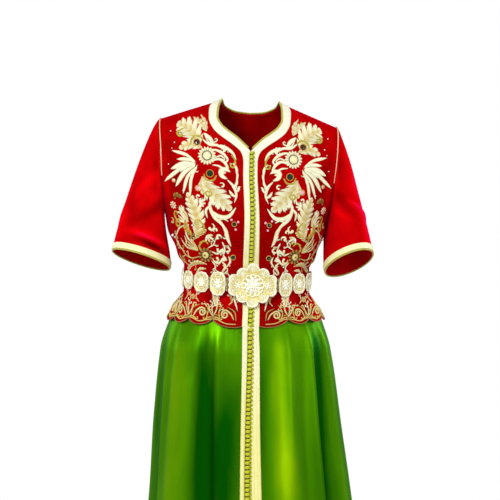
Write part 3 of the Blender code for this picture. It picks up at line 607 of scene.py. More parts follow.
def neck_lines(table, side, count=NECK_ROWS):
    """The neckline's edge and its braid's outer edge, (x, z) of each, from the shoulder inward."""
    steps = np.linspace(0, len(table) - 1, 12 * (len(table) - 1) + 1)

    def both(step):
        found = at(table, step)
        edge, outer = found[:, :2].copy(), found[:, 2:].copy()
        for line in (edge, outer):
            line[:, 1] = np.minimum(line[:, 1], shoulder_z(line[:, 0]))
        return edge, outer

    edge = both(steps)[0]
    places = spread(on_figure(edge[:, 0], edge[:, 1], side), count, 1.25)
    return both(np.interp(places, np.arange(len(steps)), steps))


def rows_between(inner, outer, columns):
    """Rows from one line of (x, z) to another, spread round the section."""
    part = np.linspace(0, 1, columns)[None, :]
    (x_in, z_in), (x_out, z_out) = inner.T[..., None], outer.T[..., None]
    turn_in = np.arcsin(np.minimum(1, x_in / at(BODY, z_in)[..., 0]))
    turn_out = np.arcsin(np.minimum(1, x_out / at(BODY, z_out)[..., 0]))
    width = at(BODY, mix(z_in, z_out, part))[..., 0]
    x = width * np.sin(mix(turn_in, turn_out, part))
    x[:, 0], x[:, -1] = x_in[:, 0], x_out[:, 0]
    return x, mix(z_in, z_out, (x - x_in) / (x_out - x_in))


def scallop_z(part, side):
    """The peplum's hem at this part of a quarter, from the centre."""
    lobe = np.minimum(part * len(SCALLOPS), len(SCALLOPS) - 1).astype(int)
    phase = part * len(SCALLOPS) - lobe
    phase = np.where((lobe == 0) & (side < 0), mix(BRAIDED_LOBE, 1.0, phase), phase)
    return PEPLUM_Z - np.array(SCALLOPS)[lobe] * np.sin(pi * np.clip(phase, 0, 0.9999)) ** 0.75


def lower_rows(side, columns):
    """x and z of a quarter's rows from the underarm to the scalloped hem."""
    part = np.linspace(0, 1, columns)[None, :]
    steps = np.linspace(0, 1, HEM_STEPS + 1)[1:, None]
    hem = mix(LOWER_LEVELS[-1], scallop_z(part, side), steps)
    z = np.vstack([np.repeat(LOWER_LEVELS[:, None], columns, 1), hem])
    start = braid_turn(z) if side < 0 else 0 * z
    point = section_point(mix(start, pi / 2, part), z, side)
    return point[..., 0], point[..., 2]


# %% Both quarters, as x and z
def front_quarter():
    """A front, from the centre to the side; its first STRIP_COLUMNS + 1 columns carry braid."""
    outer = armhole_line(-1)[:, [0, 2]]
    edge, strip = neck_lines(FRONT_NECK, -1)
    below = np.linspace(0, 1, ARMHOLE_ROWS - NECK_ROWS + 1)[1:]
    z = mix(edge[-1, 1], UNDERARM_Z, below)
    strip_z = mix(strip[-1, 1], UNDERARM_Z, below)
    edge = np.vstack([edge, np.stack([0 * z + SEAM_GAP, z], -1)])
    strip = np.vstack([strip, np.stack([at(PLACKET, strip_z)[:, 0], strip_z], -1)])
    x, z = rows_between(strip, outer, BODY_COLUMNS)
    part = np.linspace(0, 1, STRIP_COLUMNS + 1)[None, :-1]
    strip_x = mix(edge[:, :1], strip[:, :1], part)
    strip_z = mix(edge[:, 1:], strip[:, 1:], part)
    low_x, low_z = lower_rows(-1, BODY_COLUMNS)
    low_strip = mix(SEAM_GAP, low_x[:, :1], part)
    x = np.vstack([np.hstack([strip_x, x]), np.hstack([low_strip, low_x])])
    z = np.vstack([np.hstack([strip_z, z]), np.hstack([0 * low_strip + low_z[:, :1], low_z])])
    return x, z


def back_quarter():
    """Half of the back, from the centre to the side, and the strip under its neck braid."""
    outer = armhole_line(1)[:, [0, 2]]
    edge, strip = neck_lines(BACK_NECK, 1)
    below = np.linspace(0, 1, ARMHOLE_ROWS - NECK_ROWS + 1)[1:]
    z = mix(strip[-1, 1], UNDERARM_Z, below)
    x, z = rows_between(np.vstack([strip, np.stack([0 * z, z], -1)]), outer, BODY_COLUMNS)
    low_x, low_z = lower_rows(1, BODY_COLUMNS)
    part = np.linspace(0, 1, STRIP_COLUMNS + 1)[None, :]
    under = mix(edge[:, :1], strip[:, :1], part), mix(edge[:, 1:], strip[:, 1:], part)
    return (np.vstack([x, low_x]), np.vstack([z, low_z])), under


FRONT, (BACK, BACK_STRIP) = front_quarter(), back_quarter()
print("rows and columns of a front:", FRONT[0].shape)


# %% Cut the bodice
def painted_pile_shade(x, z, side, hand):
    """How bright the pile is painted: painted shade in troughs, near the centre and towards the waist,
    and a painted highlight on ridges.
    """
    low, middle = smooth((-0.12 - z) / 0.16), 1 - smooth((np.abs(x) - 0.02) / 0.10)
    return relief(hand * x, z, side) / 0.007 + 0.22 - 0.20 * low - 0.12 * middle


for name, hand in HANDS:
    grid, bright = lay(*FRONT, -1, hand), painted_pile_shade(*FRONT, -1, hand)
    piece = panel(f"velvet_front_{name}", [grid[:, ::hand]], velvet, VELVET_WALL,
                  f"bodice_front_{name}", tone=bright[:, ::hand])
parts = [(part, hand) for part in (BACK, BACK_STRIP) for _, hand in HANDS]
grids = [lay(*part, 1, hand)[:, ::-hand] for part, hand in parts]
bright = [painted_pile_shade(*part, 1, hand)[:, ::-hand].ravel() for part, hand in parts]
piece = panel("velvet_back", grids, velvet, VELVET_WALL, "bodice_back", tone=np.concatenate(bright))

# %% [markdown]
# ## The sleeves
# A sleeve leaves the armhole nearly level over the crown of the arm, bends down, and ends in a
# tilted round hem. Each of its columns is one smooth curve from the armhole to the hem, so the
# whole tube follows from two rings and the directions in which they are left and reached.

# %% Sizes of the sleeves
# each hem in the stance: side, centre, half width, half depth, drop of its inner edge and of its
# back edge in degrees, and how far the crown carries outward before it falls
SLEEVES = {
    "left": (1, (0.2120, -0.030, -0.3467), 0.0552, 0.0560, 18.7, 29.3, 0.038),
    "right": (-1, (-0.2410, -0.018, -0.3400), 0.0652, 0.0590, 16.5, 18.0, 0.076),
}
SLEEVE_START, SLEEVE_BRAID = 0.0012, 0.0125
CROWN_FALL, HEM_FALL, HEM_LEAN = (0.130, 0.060), (0.075, 0.120), (1.0, 0.2)
UNDERARM_CARRY, FRONT_CARRY = 0.002, 0.020
SLEEVE_ROWS, BAND_ROWS, SLEEVE_HALF, CURVE_STEPS = 44, 5, 49, 90
ARM_RADIUS = 0.057
# where a painted pink sheen lies round each sleeve, how widely, and how strongly
SHEEN_ANGLE, SHEEN_SPREAD, SLEEVE_SHEEN = radians(14), radians(27), {"left": 1.4, "right": 0.5}

# creases: degrees round from the outside towards the front and millimetres above the hem, of the
# start and the end, then half width and height
SLEEVE_CREASES = {
    "left": (
        (72, 108, 20, 74, 6.2, 7.5), (80, 88, 30, 56, 8, -2.4), (140, 150, 60, 85, 14, -5.5),
        (130, 112, 75, 60, 9, 3.4), (60, 240, 85, 150, 15, -5), (20, 230, 35, 130, 16, 2.4),
        (-60, 220, -85, 110, 15, -4), (-110, 120, -35, 60, 12, 3.2), (-125, 80, -60, 36, 9, -3.6),
        (-30, 130, -20, 40, 12, -2.2),
    ),
    "right": (
        (75, 26, 158, 18, 5, -11), (55, 40, 150, 36, 8, 6.8), (150, 130, 70, 66, 12, -6),
        (30, 150, 60, 50, 13, -4.4), (105, 190, 45, 110, 14, 5), (70, 240, 95, 150, 13, -5),
        (10, 90, 40, 30, 11, 2.4), (-70, 230, -90, 110, 16, -3.8), (-120, 110, -40, 70, 11, 3.4),
        (-130, 70, -70, 34, 9, -3.6),
    ),
}


# %% A sleeve's rows
def ring_normals(grid):
    """The outward direction at each point of a tube's rows."""
    round_it = np.roll(grid, -1, 1) - np.roll(grid, 1, 1)
    return unit(np.cross(np.gradient(grid, axis=0), round_it))


def sleeve_curves(name):
    """The curves of a sleeve's columns from its armhole to its hem, and the turn of each."""
    side, centre, half_width, half_depth, inner_drop, back_drop, carry = SLEEVES[name]
    front, back = (armhole_line(face, SLEEVE_HALF) for face in (-1, 1))
    first, second = (back, front) if side > 0 else (front, back)
    loop = np.vstack([first, second[-2:0:-1]])
    turn = 2 * pi * np.arange(len(loop)) / len(loop)
    top, forward = (1 + np.cos(turn)) / 2, -side * np.sin(turn)
    a, b = radians(inner_drop), radians(back_drop)
    out, ahead = np.array([side * cos(a), 0, sin(a)]), np.array([0, -cos(b), sin(b)])
    start = posed(loop * (side, 1, 1)) + (side * SLEEVE_START, 0, 0)
    end = np.array(centre) + out * half_width * np.cos(turn)[:, None]
    end = end + ahead * half_depth * forward[:, None]
    leave = np.stack(
        [side * mix(UNDERARM_CARRY, carry, top), -FRONT_CARRY * forward, -mix(*CROWN_FALL, top)], -1
    )
    arrive = np.cross(out, ahead) * side * mix(*HEM_FALL, top)[:, None]
    arrive[:, 0] *= mix(*HEM_LEAN, top)
    t = np.linspace(0, 1, CURVE_STEPS)[:, None, None]
    curve = start * (1 + 2 * t) * (1 - t) ** 2 + leave * t * (1 - t) ** 2
    curve = curve + end * t * t * (3 - 2 * t) - arrive * t * t * (1 - t)
    return curve, (-side * turn + pi) % (2 * pi) - pi


def sleeve_grid(name):
    """A sleeve from its armhole to its hem, with BAND_ROWS steps under its braid, and how bright its pile
    is painted at each point: painted shade and highlight from the creases, and a painted pink sheen where
    the light grazes its outer side."""
    curve, turn = sleeve_curves(name)
    runs = np.stack([travelled(curve[:, k]) for k in range(len(turn))], 1)
    length = runs[-1]
    rows = np.linspace(0, 1, SLEEVE_ROWS)[:, None] * (length - SLEEVE_BRAID)
    band = length - SLEEVE_BRAID * np.linspace(1, 0, BAND_ROWS + 1)[1:, None]
    wanted = np.vstack([rows, band])
    places = [np.interp(*way, np.arange(CURVE_STEPS)) for way in zip(wanted.T, runs.T)]
    grid = np.stack([along(curve[:, k], place) for k, place in enumerate(places)], 1)
    above = length - wanted
    table = np.array(SLEEVE_CREASES[name], float)
    table[:, [0, 2]] = np.radians(table[:, [0, 2]]) * ARM_RADIUS
    table[:, [1, 3, 4, 5]] /= 1000
    height = creases(turn * ARM_RADIUS + 0 * above, above, table)
    height *= smooth((above - SLEEVE_BRAID) / 0.012) * smooth(wanted / 0.03)
    grazed = np.exp(-((turn - SHEEN_ANGLE) / SHEEN_SPREAD) ** 2) * smooth((0.28 - above) / 0.16)
    # painted shade in the creases, painted highlights on the ridges, and a painted sheen on the outer
    # side
    tone = height / 0.009 + 0.42 + SLEEVE_SHEEN[name] * (grazed + np.clip(height / 0.012, 0, 1) ** 2)
    return grid + ring_normals(grid) * height[..., None], tone

# %% Cut the sleeves
SLEEVE_GRIDS = {}
for name, _ in HANDS:
    SLEEVE_GRIDS[name], bright = sleeve_grid(name)
    piece = panel(f"velvet_sleeve_{name}", [SLEEVE_GRIDS[name]], velvet, VELVET_WALL, f"sleeve_{name}",
                  ring=True, tone=bright)

# %% [markdown]
# ## The skirt
# Satin is heavy and slippery, so it hangs in long folds that grow from nothing under the peplum to
# a few centimetres at the hem. Each fold is a rise or a fall of the plain figure over a few
# degrees. Narrower ones run beside them, because real gathers never come in one size.

# %% Sizes of the skirt
# folds, in degrees from the centre front towards the wearer's left: place under the peplum, place
# at the hem, half width, and how far the cloth stands out at the hem
FOLDS = (
    (-27, -26, 11, -0.03), (-50, -46, 14, 0.014), (-78, -72, 12, -0.018), (17, 17, 13, 0.012),
    (36, 34, 9, -0.012), (52, 55, 9, -0.028), (76, 80, 12, 0.01), (108, 106, 12, -0.02),
    (131, 129, 11, 0.016), (150, 152, 12, -0.026), (176, 174, 13, 0.014), (200, 203, 12, -0.024),
    (222, 225, 12, 0.014), (247, 250, 12, -0.022),
)
FOLD_GROWTH = ((-0.490, 0.0), (-0.600, 0.34), (-0.873, 0.72), (-1.450, 1.0))

# narrower ones: degrees and height of the start and the end, half width and height, in metres
SKIRT_CREASES = (
    (-20, -0.44, -22, -0.9, 0.009, 0.004), (-31, -0.45, -34, -1.05, 0.01, -0.0045),
    (-60, -0.46, -62, -0.8, 0.012, -0.003), (-40, -0.6, -37, -1.3, 0.014, 0.005),
    (9, -0.5, 10, -1.2, 0.012, -0.003), (24, -0.45, 25, -0.78, 0.008, 0.0034),
    (43, -0.45, 46, -1.1, 0.009, 0.005), (58, -0.45, 62, -1, 0.009, -0.005),
    (66, -0.5, 69, -1.3, 0.012, 0.005), (92, -0.48, 93, -1.2, 0.014, 0.005),
    (118, -0.46, 118, -0.9, 0.011, -0.004), (142, -0.47, 140, -1.2, 0.012, 0.005),
    (164, -0.46, 163, -1, 0.012, -0.004), (188, -0.47, 190, -1.3, 0.014, 0.0045),
    (212, -0.46, 213, -0.95, 0.011, -0.0042), (236, -0.47, 238, -1.25, 0.013, 0.0045),
    (262, -0.47, 264, -1.1, 0.012, 0.004), (276, -0.46, 275, -0.9, 0.011, -0.004),
    (-15, -0.9, -14, -1.4, 0.014, -0.005), (30, -0.95, 29, -1.42, 0.013, 0.005),
)
DEGREE = 0.0032  # metres of cloth in one degree round the figure, near the knee

# painted shade and highlights on the satin, deep green to yellow green in broad patches: degrees, height,
# half width in degrees, half height in metres, amount
SATIN_LIGHT_PATCHES = (
    (-31, -0.78, 6, 0.3, -0.5), (-16, -0.78, 11, 0.3, -0.8), (-8, -0.55, 9, 0.06, 0.35),
    (-58, -0.75, 14, 0.4, 0.25), (-24, -0.51, 8, 0.05, 0.25), (4, -0.62, 4, 0.25, -0.45),
    (16, -0.62, 6, 0.14, 0.55), (19, -0.79, 5, 0.07, 0.8), (18, -1.1, 9, 0.22, 0.3),
    (31, -0.85, 5, 0.4, 0.05), (36, -0.62, 6, 0.16, 0.3), (51, -0.66, 5, 0.18, -0.75),
    (47, -0.86, 6, 0.22, -0.75), (66, -0.7, 8, 0.34, -0.15), (78, -0.85, 8, 0.35, -0.4),
    (112, -0.8, 10, 0.35, 0.45), (133, -0.95, 9, 0.3, -0.45), (155, -0.75, 9, 0.3, 0.5),
    (180, -0.9, 10, 0.35, -0.35), (203, -0.8, 9, 0.3, 0.45), (226, -0.9, 9, 0.35, -0.4),
    (250, -0.75, 9, 0.35, 0.4),
)
SKIRT_INSET, INSET_FROM_Z, INSET_TO_Z = 0.0066, -0.480, -0.530
SKIRT_TOP_Z, BRAID_TOP_Z, BRIDGE_LENGTH = -0.413, -0.4782, 0.030
SKIRT_COLUMNS, SKIRT_ROWS = 60, 84
CREASE_TOP_Z, CREASE_SOFT, SIDE_SOFT = -0.462, 0.05, 0.12
FOLD_FULL, CREASE_FULL, RIDGE_TONE = 0.020, 0.008, 0.42
SKIRT_LEVELS = mix(SKIRT_TOP_Z, HEM_Z, np.linspace(0, 1, SKIRT_ROWS) ** 1.25)


# %% A quarter of the skirt
def turn_between(a, b):
    """The turn from b to a, in degrees, the short way round."""
    return (a - b + 180) % 360 - 180


def fold_out(turn, z):
    """How far the skirt stands out of the plain figure, turn degrees round from the front."""
    low = np.clip((z - FOLD_GROWTH[0][0]) / (HEM_Z - FOLD_GROWTH[0][0]), 0, None)
    total = 0.0
    for top, hem, half, reach in FOLDS:
        off = np.clip(turn_between(turn, mix(top, hem, low)) / half, -1, 1)
        total = total + reach * np.cos(off * pi / 2) ** 2
    return total * at(FOLD_GROWTH, z)[..., 0]


def skirt_inset(z):
    """How far inside the figure the skirt hangs under the peplum."""
    return SKIRT_INSET * np.clip((z - INSET_TO_Z) / (INSET_FROM_Z - INSET_TO_Z), 0, 1)


def braid_bridge(z):
    """How far the braid and the buttons stand off the skirt, coming down from the peplum."""
    return SKIRT_INSET * (1 - smooth((BRAID_TOP_Z - z) / BRIDGE_LENGTH))


def skirt_quarter(side, hand, levels=SKIRT_LEVELS):
    """Rows of one quarter of the skirt, from the centre to the side, before the stance, and how yellow
    and light its satin is painted there, from -1 to 1: a painted highlight on a ridge, painted shade in a
    trough."""
    z = np.repeat(levels[:, None], SKIRT_COLUMNS, 1)
    width, front, back, square = np.moveaxis(at(BODY, z), -1, 0)
    turn = mix(braid_turn(z) if side < 0 else 0 * z, pi / 2, np.linspace(0, 1, SKIRT_COLUMNS)[None, :])
    inset = skirt_inset(z)
    x = (width - inset) * np.sin(turn) ** (2 / square)
    depth = ((front if side < 0 else back) - inset) * np.abs(np.cos(turn)) ** (2 / square)
    point = np.stack([x, side * np.maximum(depth, SIDE_GAP), z], -1)
    if side < 0:
        strip = point[:, :1].repeat(STRIP_COLUMNS, 1)
        strip[..., 0] = mix(SEAM_GAP, point[:, :1, 0], np.arange(STRIP_COLUMNS) / STRIP_COLUMNS)
        point = np.hstack([strip, point])
        turn = np.hstack([0 * strip[..., 0], turn])
    z = point[..., 2]
    degrees = np.degrees(hand * (turn if side < 0 else pi - turn))
    fine = [(a * DEGREE, p, b * DEGREE, q, w, h) for a, p, b, q, w, h in SKIRT_CREASES]
    fine += [(a - 360 * DEGREE, p, b - 360 * DEGREE, q, w, h) for a, p, b, q, w, h in fine]
    height = creases(degrees * DEGREE, z, fine) * smooth((CREASE_TOP_Z - z) / CREASE_SOFT)
    height *= smooth((pi / 2 - turn) / SIDE_SOFT)
    folds = fold_out(degrees, z)
    up = folds / np.maximum(at(FOLD_GROWTH, z)[..., 0], 0.05) / FOLD_FULL + height / CREASE_FULL
    # painted highlights on the fold ridges and painted shade in the troughs, then the painted patches of
    # light and shade
    tone = np.clip(up, -1, 1) * RIDGE_TONE
    for middle, level, wide, tall, amount in SATIN_LIGHT_PATCHES:
        aside = turn_between(degrees, middle)
        tone += amount * np.exp(-((aside / wide) ** 2) - ((z - level) / tall) ** 2)
    point = point + unit(point * (1, 1, 0)) * (folds + height)[..., None]
    point[:, -1, 1] = side * SIDE_GAP
    point[..., 0] *= hand
    return point, tone


# %% Satin, with painted shade and highlights
def satin_color(tree):
    tone = tone_of(tree) * 0.55 + noise(tree, 12, 3, stretch=(1, 1, 0.3)) * 0.6 + 0.12
    deep, green, yellow = (0.0012, 0.085, 0.0004), (0.075, 0.270, 0.0008), (0.30, 0.56, 0.0008)
    return shades(tree, tone, deep, green, yellow)


satin = finish_of(
    "green_satin", "green_satin", satin_color,
    roughness=lambda t: noise(t, 60, stretch=(1, 1, 0.3)) * 0.10 + 0.34,
    bump=lambda t: noise(t, 130, 3, stretch=(1, 1, 0.12)),
    Metallic=0.5,
    Specular_IOR_Level=0.06,
    Specular_Tint=(0.45, 0.85, 0.05, 1.0),
)

# %% Cut the skirt
for name, hand in HANDS:
    grid, up = skirt_quarter(-1, hand)
    piece = panel(f"satin_front_{name}", [posed(grid)[:, ::hand]], satin, SATIN_WALL,
                  f"skirt_front_{name}", tone=up[:, ::hand])
grids, ups = [], []
for _, hand in HANDS:
    grid, up = skirt_quarter(1, hand)
    grids.append(posed(grid)[:, ::-hand])
    ups.append(up[:, ::-hand].ravel())
piece = panel("satin_back", grids, satin, SATIN_WALL, "skirt_back", tone=np.concatenate(ups))

# %% [markdown]
# ## Braid and cord
# The opening, the neck and the sleeve hems are bound with a flat braid of cream and gold thread,
# worked in fine chevrons, with a twisted olive-gold cord against it at the neck and the hems. It is
# laid from the points of the cloth under it, moved outward. The cord is a tube whose radius swells and
# shrinks along a screw, which is just what a twist of three strands looks like.

# %% Braid
CHEVRON, THREAD = 0.0030, 0.0009
END_ROW, BRAID_ROW, BRAID_LIFT = 0.0004, 0.006, 0.0006
BRAID_SECTION = np.array([0.0, 0.08, 0.20, 0.35, 0.5, 0.65, 0.80, 0.92, 1.0])
BRAID_CROWN = np.array([-0.3, 0.25, 0.0, 0.15, 0.05, 0.15, 0.0, 0.25, -0.3]) * 0.001


def braid_wave(tree):
    """Chevrons of thread: waves along the braid that lean the same way from its middle."""
    across, down = uv_parts(tree)
    lean = (across - 0.5).math("ABSOLUTE") * (4.2 * pi)
    return (down * (2 * pi / CHEVRON) + lean).math("SINE") * 0.5 + 0.5, across, down


def braid_color(tree):
    wave, across, _ = braid_wave(tree)
    lines = (across * (6 * pi)).math("COSINE").math("MAXIMUM", 0.0) ** 10.0
    edge = ((across - 0.5).math("ABSOLUTE") * 2.0) ** 6.0
    shade = lines * 0.40 + edge * 0.30 + (1 - wave) * 0.16 + noise(tree, 60) * 0.24 - 0.12
    # painted light: the braid is whiter towards the top and yellower lower down
    low = height_of(tree) * -1.0
    lower = (low * 5.0 - 0.75).clamped() * 0.65 - (low * 15.0 - 5.7).clamped() * 0.25
    lower = (lower + (low * 6.0 - 3.2).clamped() * 0.60).clamped()
    thread = blend(tree, lower, (1.0, 1.0, 0.82), (0.97, 0.93, 0.36))
    return blend(tree, shade.clamped(), thread, (0.60, 0.45, 0.03))


def braid_height(tree):
    wave, _, down = braid_wave(tree)
    return wave * 0.8 + (down * (2 * pi / THREAD)).math("SINE") * 0.15


braid_look = finish_of(
    "cream_gold_braid", "cream_gold_braid", braid_color, 0.44, braid_height, BRAID_LIFT,
    Specular_IOR_Level=0.5, Sheen_Weight=0.15,
)


# %% Laying a braid
def across_strip(grid):
    """The strip's columns, resampled to the braid's own section."""
    places = BRAID_SECTION * (grid.shape[1] - 1)
    low = np.minimum(places.astype(int), grid.shape[1] - 2)
    part = (places - low).reshape(1, -1, *[1] * (grid.ndim - 2))
    return mix(grid[:, low], grid[:, low + 1], part)


def braid_uv(grid):
    """Across it from 0 to 1, and along its middle in metres."""
    down = travelled(grid[:, grid.shape[1] // 2])
    return np.stack(np.broadcast_arrays(BRAID_SECTION[None, :], down[:, None]), -1)


def finer_rows(grid):
    """The same grid with rows no further apart than BRAID_ROW, and a close one at each end."""
    whole = length_of(grid[:, -1])
    marks = np.linspace(0, whole, int(np.ceil(whole / BRAID_ROW)) + 1)
    marks = np.r_[0, END_ROW, marks[1:-1], whole - END_ROW, whole]
    places = np.interp(marks, travelled(grid[:, -1]), np.arange(len(grid)))
    low = np.minimum(places.astype(int), len(grid) - 2)
    return mix(grid[low], grid[low + 1], (places - low)[:, None, None])


def braid_piece(name, grids, uv, node, ring=False):
    """A flat braid, its map and its node."""
    uv = np.concatenate([part.reshape(-1, 2) for part in uv])
    piece = panel(name, grids, braid_look, BRAID_WALL, node, 1, ring, uv)


# %% Braids of the fronts, the skirt and the neck
def neck_braid(quarter, side, hand, order):
    """The braid's grid on the strip of a front or of half of the back."""
    x, z = (across_strip(part[:, : STRIP_COLUMNS + 1]) for part in quarter)
    return finer_rows(lay(x, z, side, hand, LAY_GAP + BRAID_CROWN))[:, ::order]


for name, hand in HANDS:
    grid = neck_braid(FRONT, -1, hand, hand)
    braid_piece(f"braid_front_{name}", [grid], [braid_uv(grid)], f"front_braid_{name}")
    levels = np.r_[BRAID_TOP_Z, np.linspace(BRAID_TOP_Z - END_ROW, HEM_Z, 110)]
    strip = across_strip(skirt_quarter(-1, hand, levels)[0][:, : STRIP_COLUMNS + 1])
    strip[..., 1] -= LAY_GAP + 0.0002 + BRAID_CROWN + braid_bridge(strip[..., 2])
    grid = posed(strip)[:, ::hand]
    braid_piece(f"braid_skirt_{name}", [grid], [braid_uv(grid)], f"skirt_braid_{name}")
grids = [neck_braid(BACK_STRIP, 1, hand, -hand) for _, hand in HANDS]
braid_piece("braid_back_neck", grids, map(braid_uv, grids), "back_neck_braid")

# %% Sleeve braids
for name, grid in SLEEVE_GRIDS.items():
    normals = ring_normals(grid).swapaxes(0, 1)
    band = (grid.swapaxes(0, 1) + normals * LAY_GAP)[:, -BAND_ROWS - 1:]
    section = across_strip(band) + normals[:, -1:] * BRAID_CROWN[None, :, None]
    braid_piece(f"braid_sleeve_{name}", [section.swapaxes(0, 1)], [braid_uv(section).swapaxes(0, 1)],
                f"sleeve_braid_{name}", ring=True)


# %% A twisted cord
def around(count, start=0.0):
    """The turns of `count` places round a circle, in radians."""
    return start + 2 * pi * np.arange(count) / count


def toward(turn):
    """The flat direction of a turn."""
    return np.stack([np.cos(turn), np.sin(turn)], -1)


def square_to(path):
    """Two directions square to a path at each point, that turn as little as they can."""
    tangent = unit(np.gradient(path, axis=0))
    side, last = np.zeros_like(path), np.array([0.0, 0.0, 1.0])
    for k, t in enumerate(tangent):
        last = unit(last - t * (last @ t))
        side[k] = last
    return side, np.cross(tangent, side)


def twisted(path, radius, pitch, sides=10, step=0.0007, closed=False, strands=3, depth=0.22):
    """Points, faces and map of a tube that swells along a screw."""
    length = length_of(path)
    count = int(length / step)
    marks = np.linspace(0, length, count, endpoint=not closed)
    line = along(path, np.interp(marks, travelled(path), np.arange(len(path))))
    if closed:
        pitch = length / round(length / pitch)
    turn = around(sides)
    screw = strands / 2 * (turn[None, :] - 2 * pi * marks[:, None] / pitch)
    swell = 1 - depth * np.abs(np.sin(screw))
    c, s = toward(turn).T[:, None, :, None]
    a, b = square_to(line)
    reach = (radius * swell * (1 + depth / 2))[..., None]
    points = line[:, None] + (a[:, None] * c + b[:, None] * s) * reach
    faces = [face[::-1] for face in tube_faces(count, sides, closed)]
    return points, faces, np.stack(np.broadcast_arrays(swell, marks[:, None]), -1)


def cord_piece(name, path, radius, pitch, material, node=None, **shape):
    """A twisted cord along a path, and the node that it stands for."""
    put_in_scene(turned_out(mesh_of(name, *twisted(path, radius, pitch, **shape))), material, node)
    print(f"{name}: {length_of(path):.2f} m")


# %% Silk cord and piping
def cord_color(dark, light):
    """Painted shade in the grooves between the strands and a painted highlight on their crowns."""
    def color(tree):
        swell, _ = uv_parts(tree)
        return blend(tree, ((swell - 0.78) * 4.5).clamped(), dark, light)
    return color


def piping_color(tree):
    """Gold at the shoulder, and rose lower down the armhole."""
    low = height_of(tree) * -12.0 - 0.90
    gold = cord_color((0.86, 0.46, 0.24), (1.0, 0.86, 0.52))(tree)
    return blend(tree, low.clamped() * 0.75, gold, (0.98, 0.22, 0.14))


cord_look = finish_of(
    "olive_gold_cord", "olive_gold_cord", cord_color((0.24, 0.20, 0.004), (0.82, 0.78, 0.06)), 0.42,
    Specular_IOR_Level=0.5, Sheen_Weight=0.2,
)
piping_look = finish_of("rose_gold_piping", "rose_gold_piping", piping_color, 0.42,
                        Specular_IOR_Level=0.5)

# %% Neck cords, sleeve cords and piping
NECK_CORD, SLEEVE_CORD, PIPING, CORD_PITCH, PIPING_PITCH = 0.0019, 0.0017, 0.0011, 0.0075, 0.005
NECK_CORD_END, PIPING_LIFT, PIPING_INSET, PIPING_END_Z = 0.0027, 0.0018, 0.0016, -0.170


def neck_cord_line(table, side):
    """The line of the cord against the inner edge of a neck braid."""
    edge = neck_lines(table, side, 60)[0]
    points = on_figure(edge[:, 0], edge[:, 1], side)
    normal = outward(edge[:, 0], edge[:, 1], side)
    ahead = unit(np.gradient(points, axis=0))
    line = points + np.cross(normal, ahead) * side * (NECK_CORD + LAY_GAP) + normal * BRAID_WALL / 2
    line[0, 1] = side * (LAY_GAP + SEAM_GAP)
    return line[line[:, 0] > NECK_CORD_END] if side < 0 else line


def piping_line():
    """Over the shoulder and down both sides of an armhole."""
    halves = []
    for side in (-1, 1):
        seam = armhole_line(side, 60, PIPING_INSET)[1:]
        seam = seam[seam[:, 2] > PIPING_END_Z]
        halves.append(seam + outward(seam[:, 0], seam[:, 2], side) * PIPING_LIFT)
    top = SHOULDER_OUT[0] - PIPING_INSET
    return np.vstack([halves[0][::-1], [[top, 0, shoulder_z(top) + PIPING_LIFT]], halves[1]])


front_line, back_line = neck_cord_line(FRONT_NECK, -1), neck_cord_line(BACK_NECK, 1)
for name, hand in HANDS:
    path = posed(front_line * (hand, 1, 1))
    cord_piece(f"cord_neck_{name}", path, NECK_CORD, CORD_PITCH, cord_look, f"neck_cord_{name}")
back_line[-1, 0] = 0
path = posed(np.vstack([back_line, back_line[-2::-1] * (-1, 1, 1)]))
cord_piece("cord_back_neck", path, NECK_CORD, CORD_PITCH, cord_look, "back_neck_cord")
for name, hand in HANDS:
    before, end = SLEEVE_GRIDS[name][-2:]
    path = end + unit(end - before) * (SLEEVE_CORD + LAY_GAP)
    cord_piece(f"cord_sleeve_{name}", np.vstack([path, path[:1]]), SLEEVE_CORD, CORD_PITCH,
               cord_look, f"sleeve_cord_{name}", closed=True)
    cord_piece(f"piping_{name}", posed(piping_line() * (hand, 1, 1)), PIPING, PIPING_PITCH,
               piping_look, f"armhole_piping_{name}", sides=8, step=0.001)

# %% [markdown]
# ## Rows of small things
# Buttons, and the granules on the belt, repeat along a line. Placing them by hand would be dull and
# uneven, so a small Geometry Nodes tree does it: it walks along the edges of a mesh, drops a point
# at every step, puts a copy of one small shape there, turned to the line and to the surface, and
# makes them real. Each line carries two values at its points: `face`, which way is up off the
# surface, and `size`, how much the copy is stretched there.


# %% Geometry Nodes: one shape at every step of a line
def row_tree():
    """Inputs: the lines, the shape to repeat, the step in metres and the finish."""
    tree = bpy.data.node_groups.new("row_along_lines", "GeometryNodeTree")
    sockets = (("Lines", "Geometry"), ("Shape", "Object"), ("Step", "Float"), ("Finish", "Material"))
    for label, kind in sockets:
        tree.interface.new_socket(label, in_out="INPUT", socket_type="NodeSocket" + kind)
    tree.interface.new_socket("Row", in_out="OUTPUT", socket_type="NodeSocketGeometry")
    given = tree.nodes.new("NodeGroupInput").outputs

    def add(kind, settings=(), **sources):
        """A node, its settings, and links to its inputs; gives its outputs."""
        node = tree.nodes.new("GeometryNode" + kind)
        for key, value in settings:
            setattr(node, key, value)
        for key, source in sources.items():
            tree.links.new(source, node.inputs[key])
        return node.outputs

    def carried(name):
        """A vector that the lines carry at their points."""
        value = add("InputNamedAttribute", [("data_type", "FLOAT_VECTOR")])["Attribute"]
        value.node.inputs["Name"].default_value = name
        return value

    curve = add("MeshToCurve", Mesh=given["Lines"])["Curve"]
    curve = add("SetCurveNormal", [("mode", "FREE")], Curve=curve, Normal=carried("face"))["Curve"]
    points = add("CurveToPoints", [("mode", "LENGTH")], Curve=curve, Length=given["Step"])
    shape = add("ObjectInfo", Object=given["Shape"])["Geometry"]
    copies = add("InstanceOnPoints", Points=points["Points"], Rotation=points["Rotation"],
                 Instance=shape, Scale=carried("size"))["Instances"]
    real = add("RealizeInstances", Geometry=copies)["Geometry"]
    done = add("SetMaterial", Geometry=real, Material=given["Finish"])["Geometry"]
    tree.links.new(done, tree.nodes.new("NodeGroupOutput").inputs["Row"])
    return tree


ROW_TREE = row_tree()


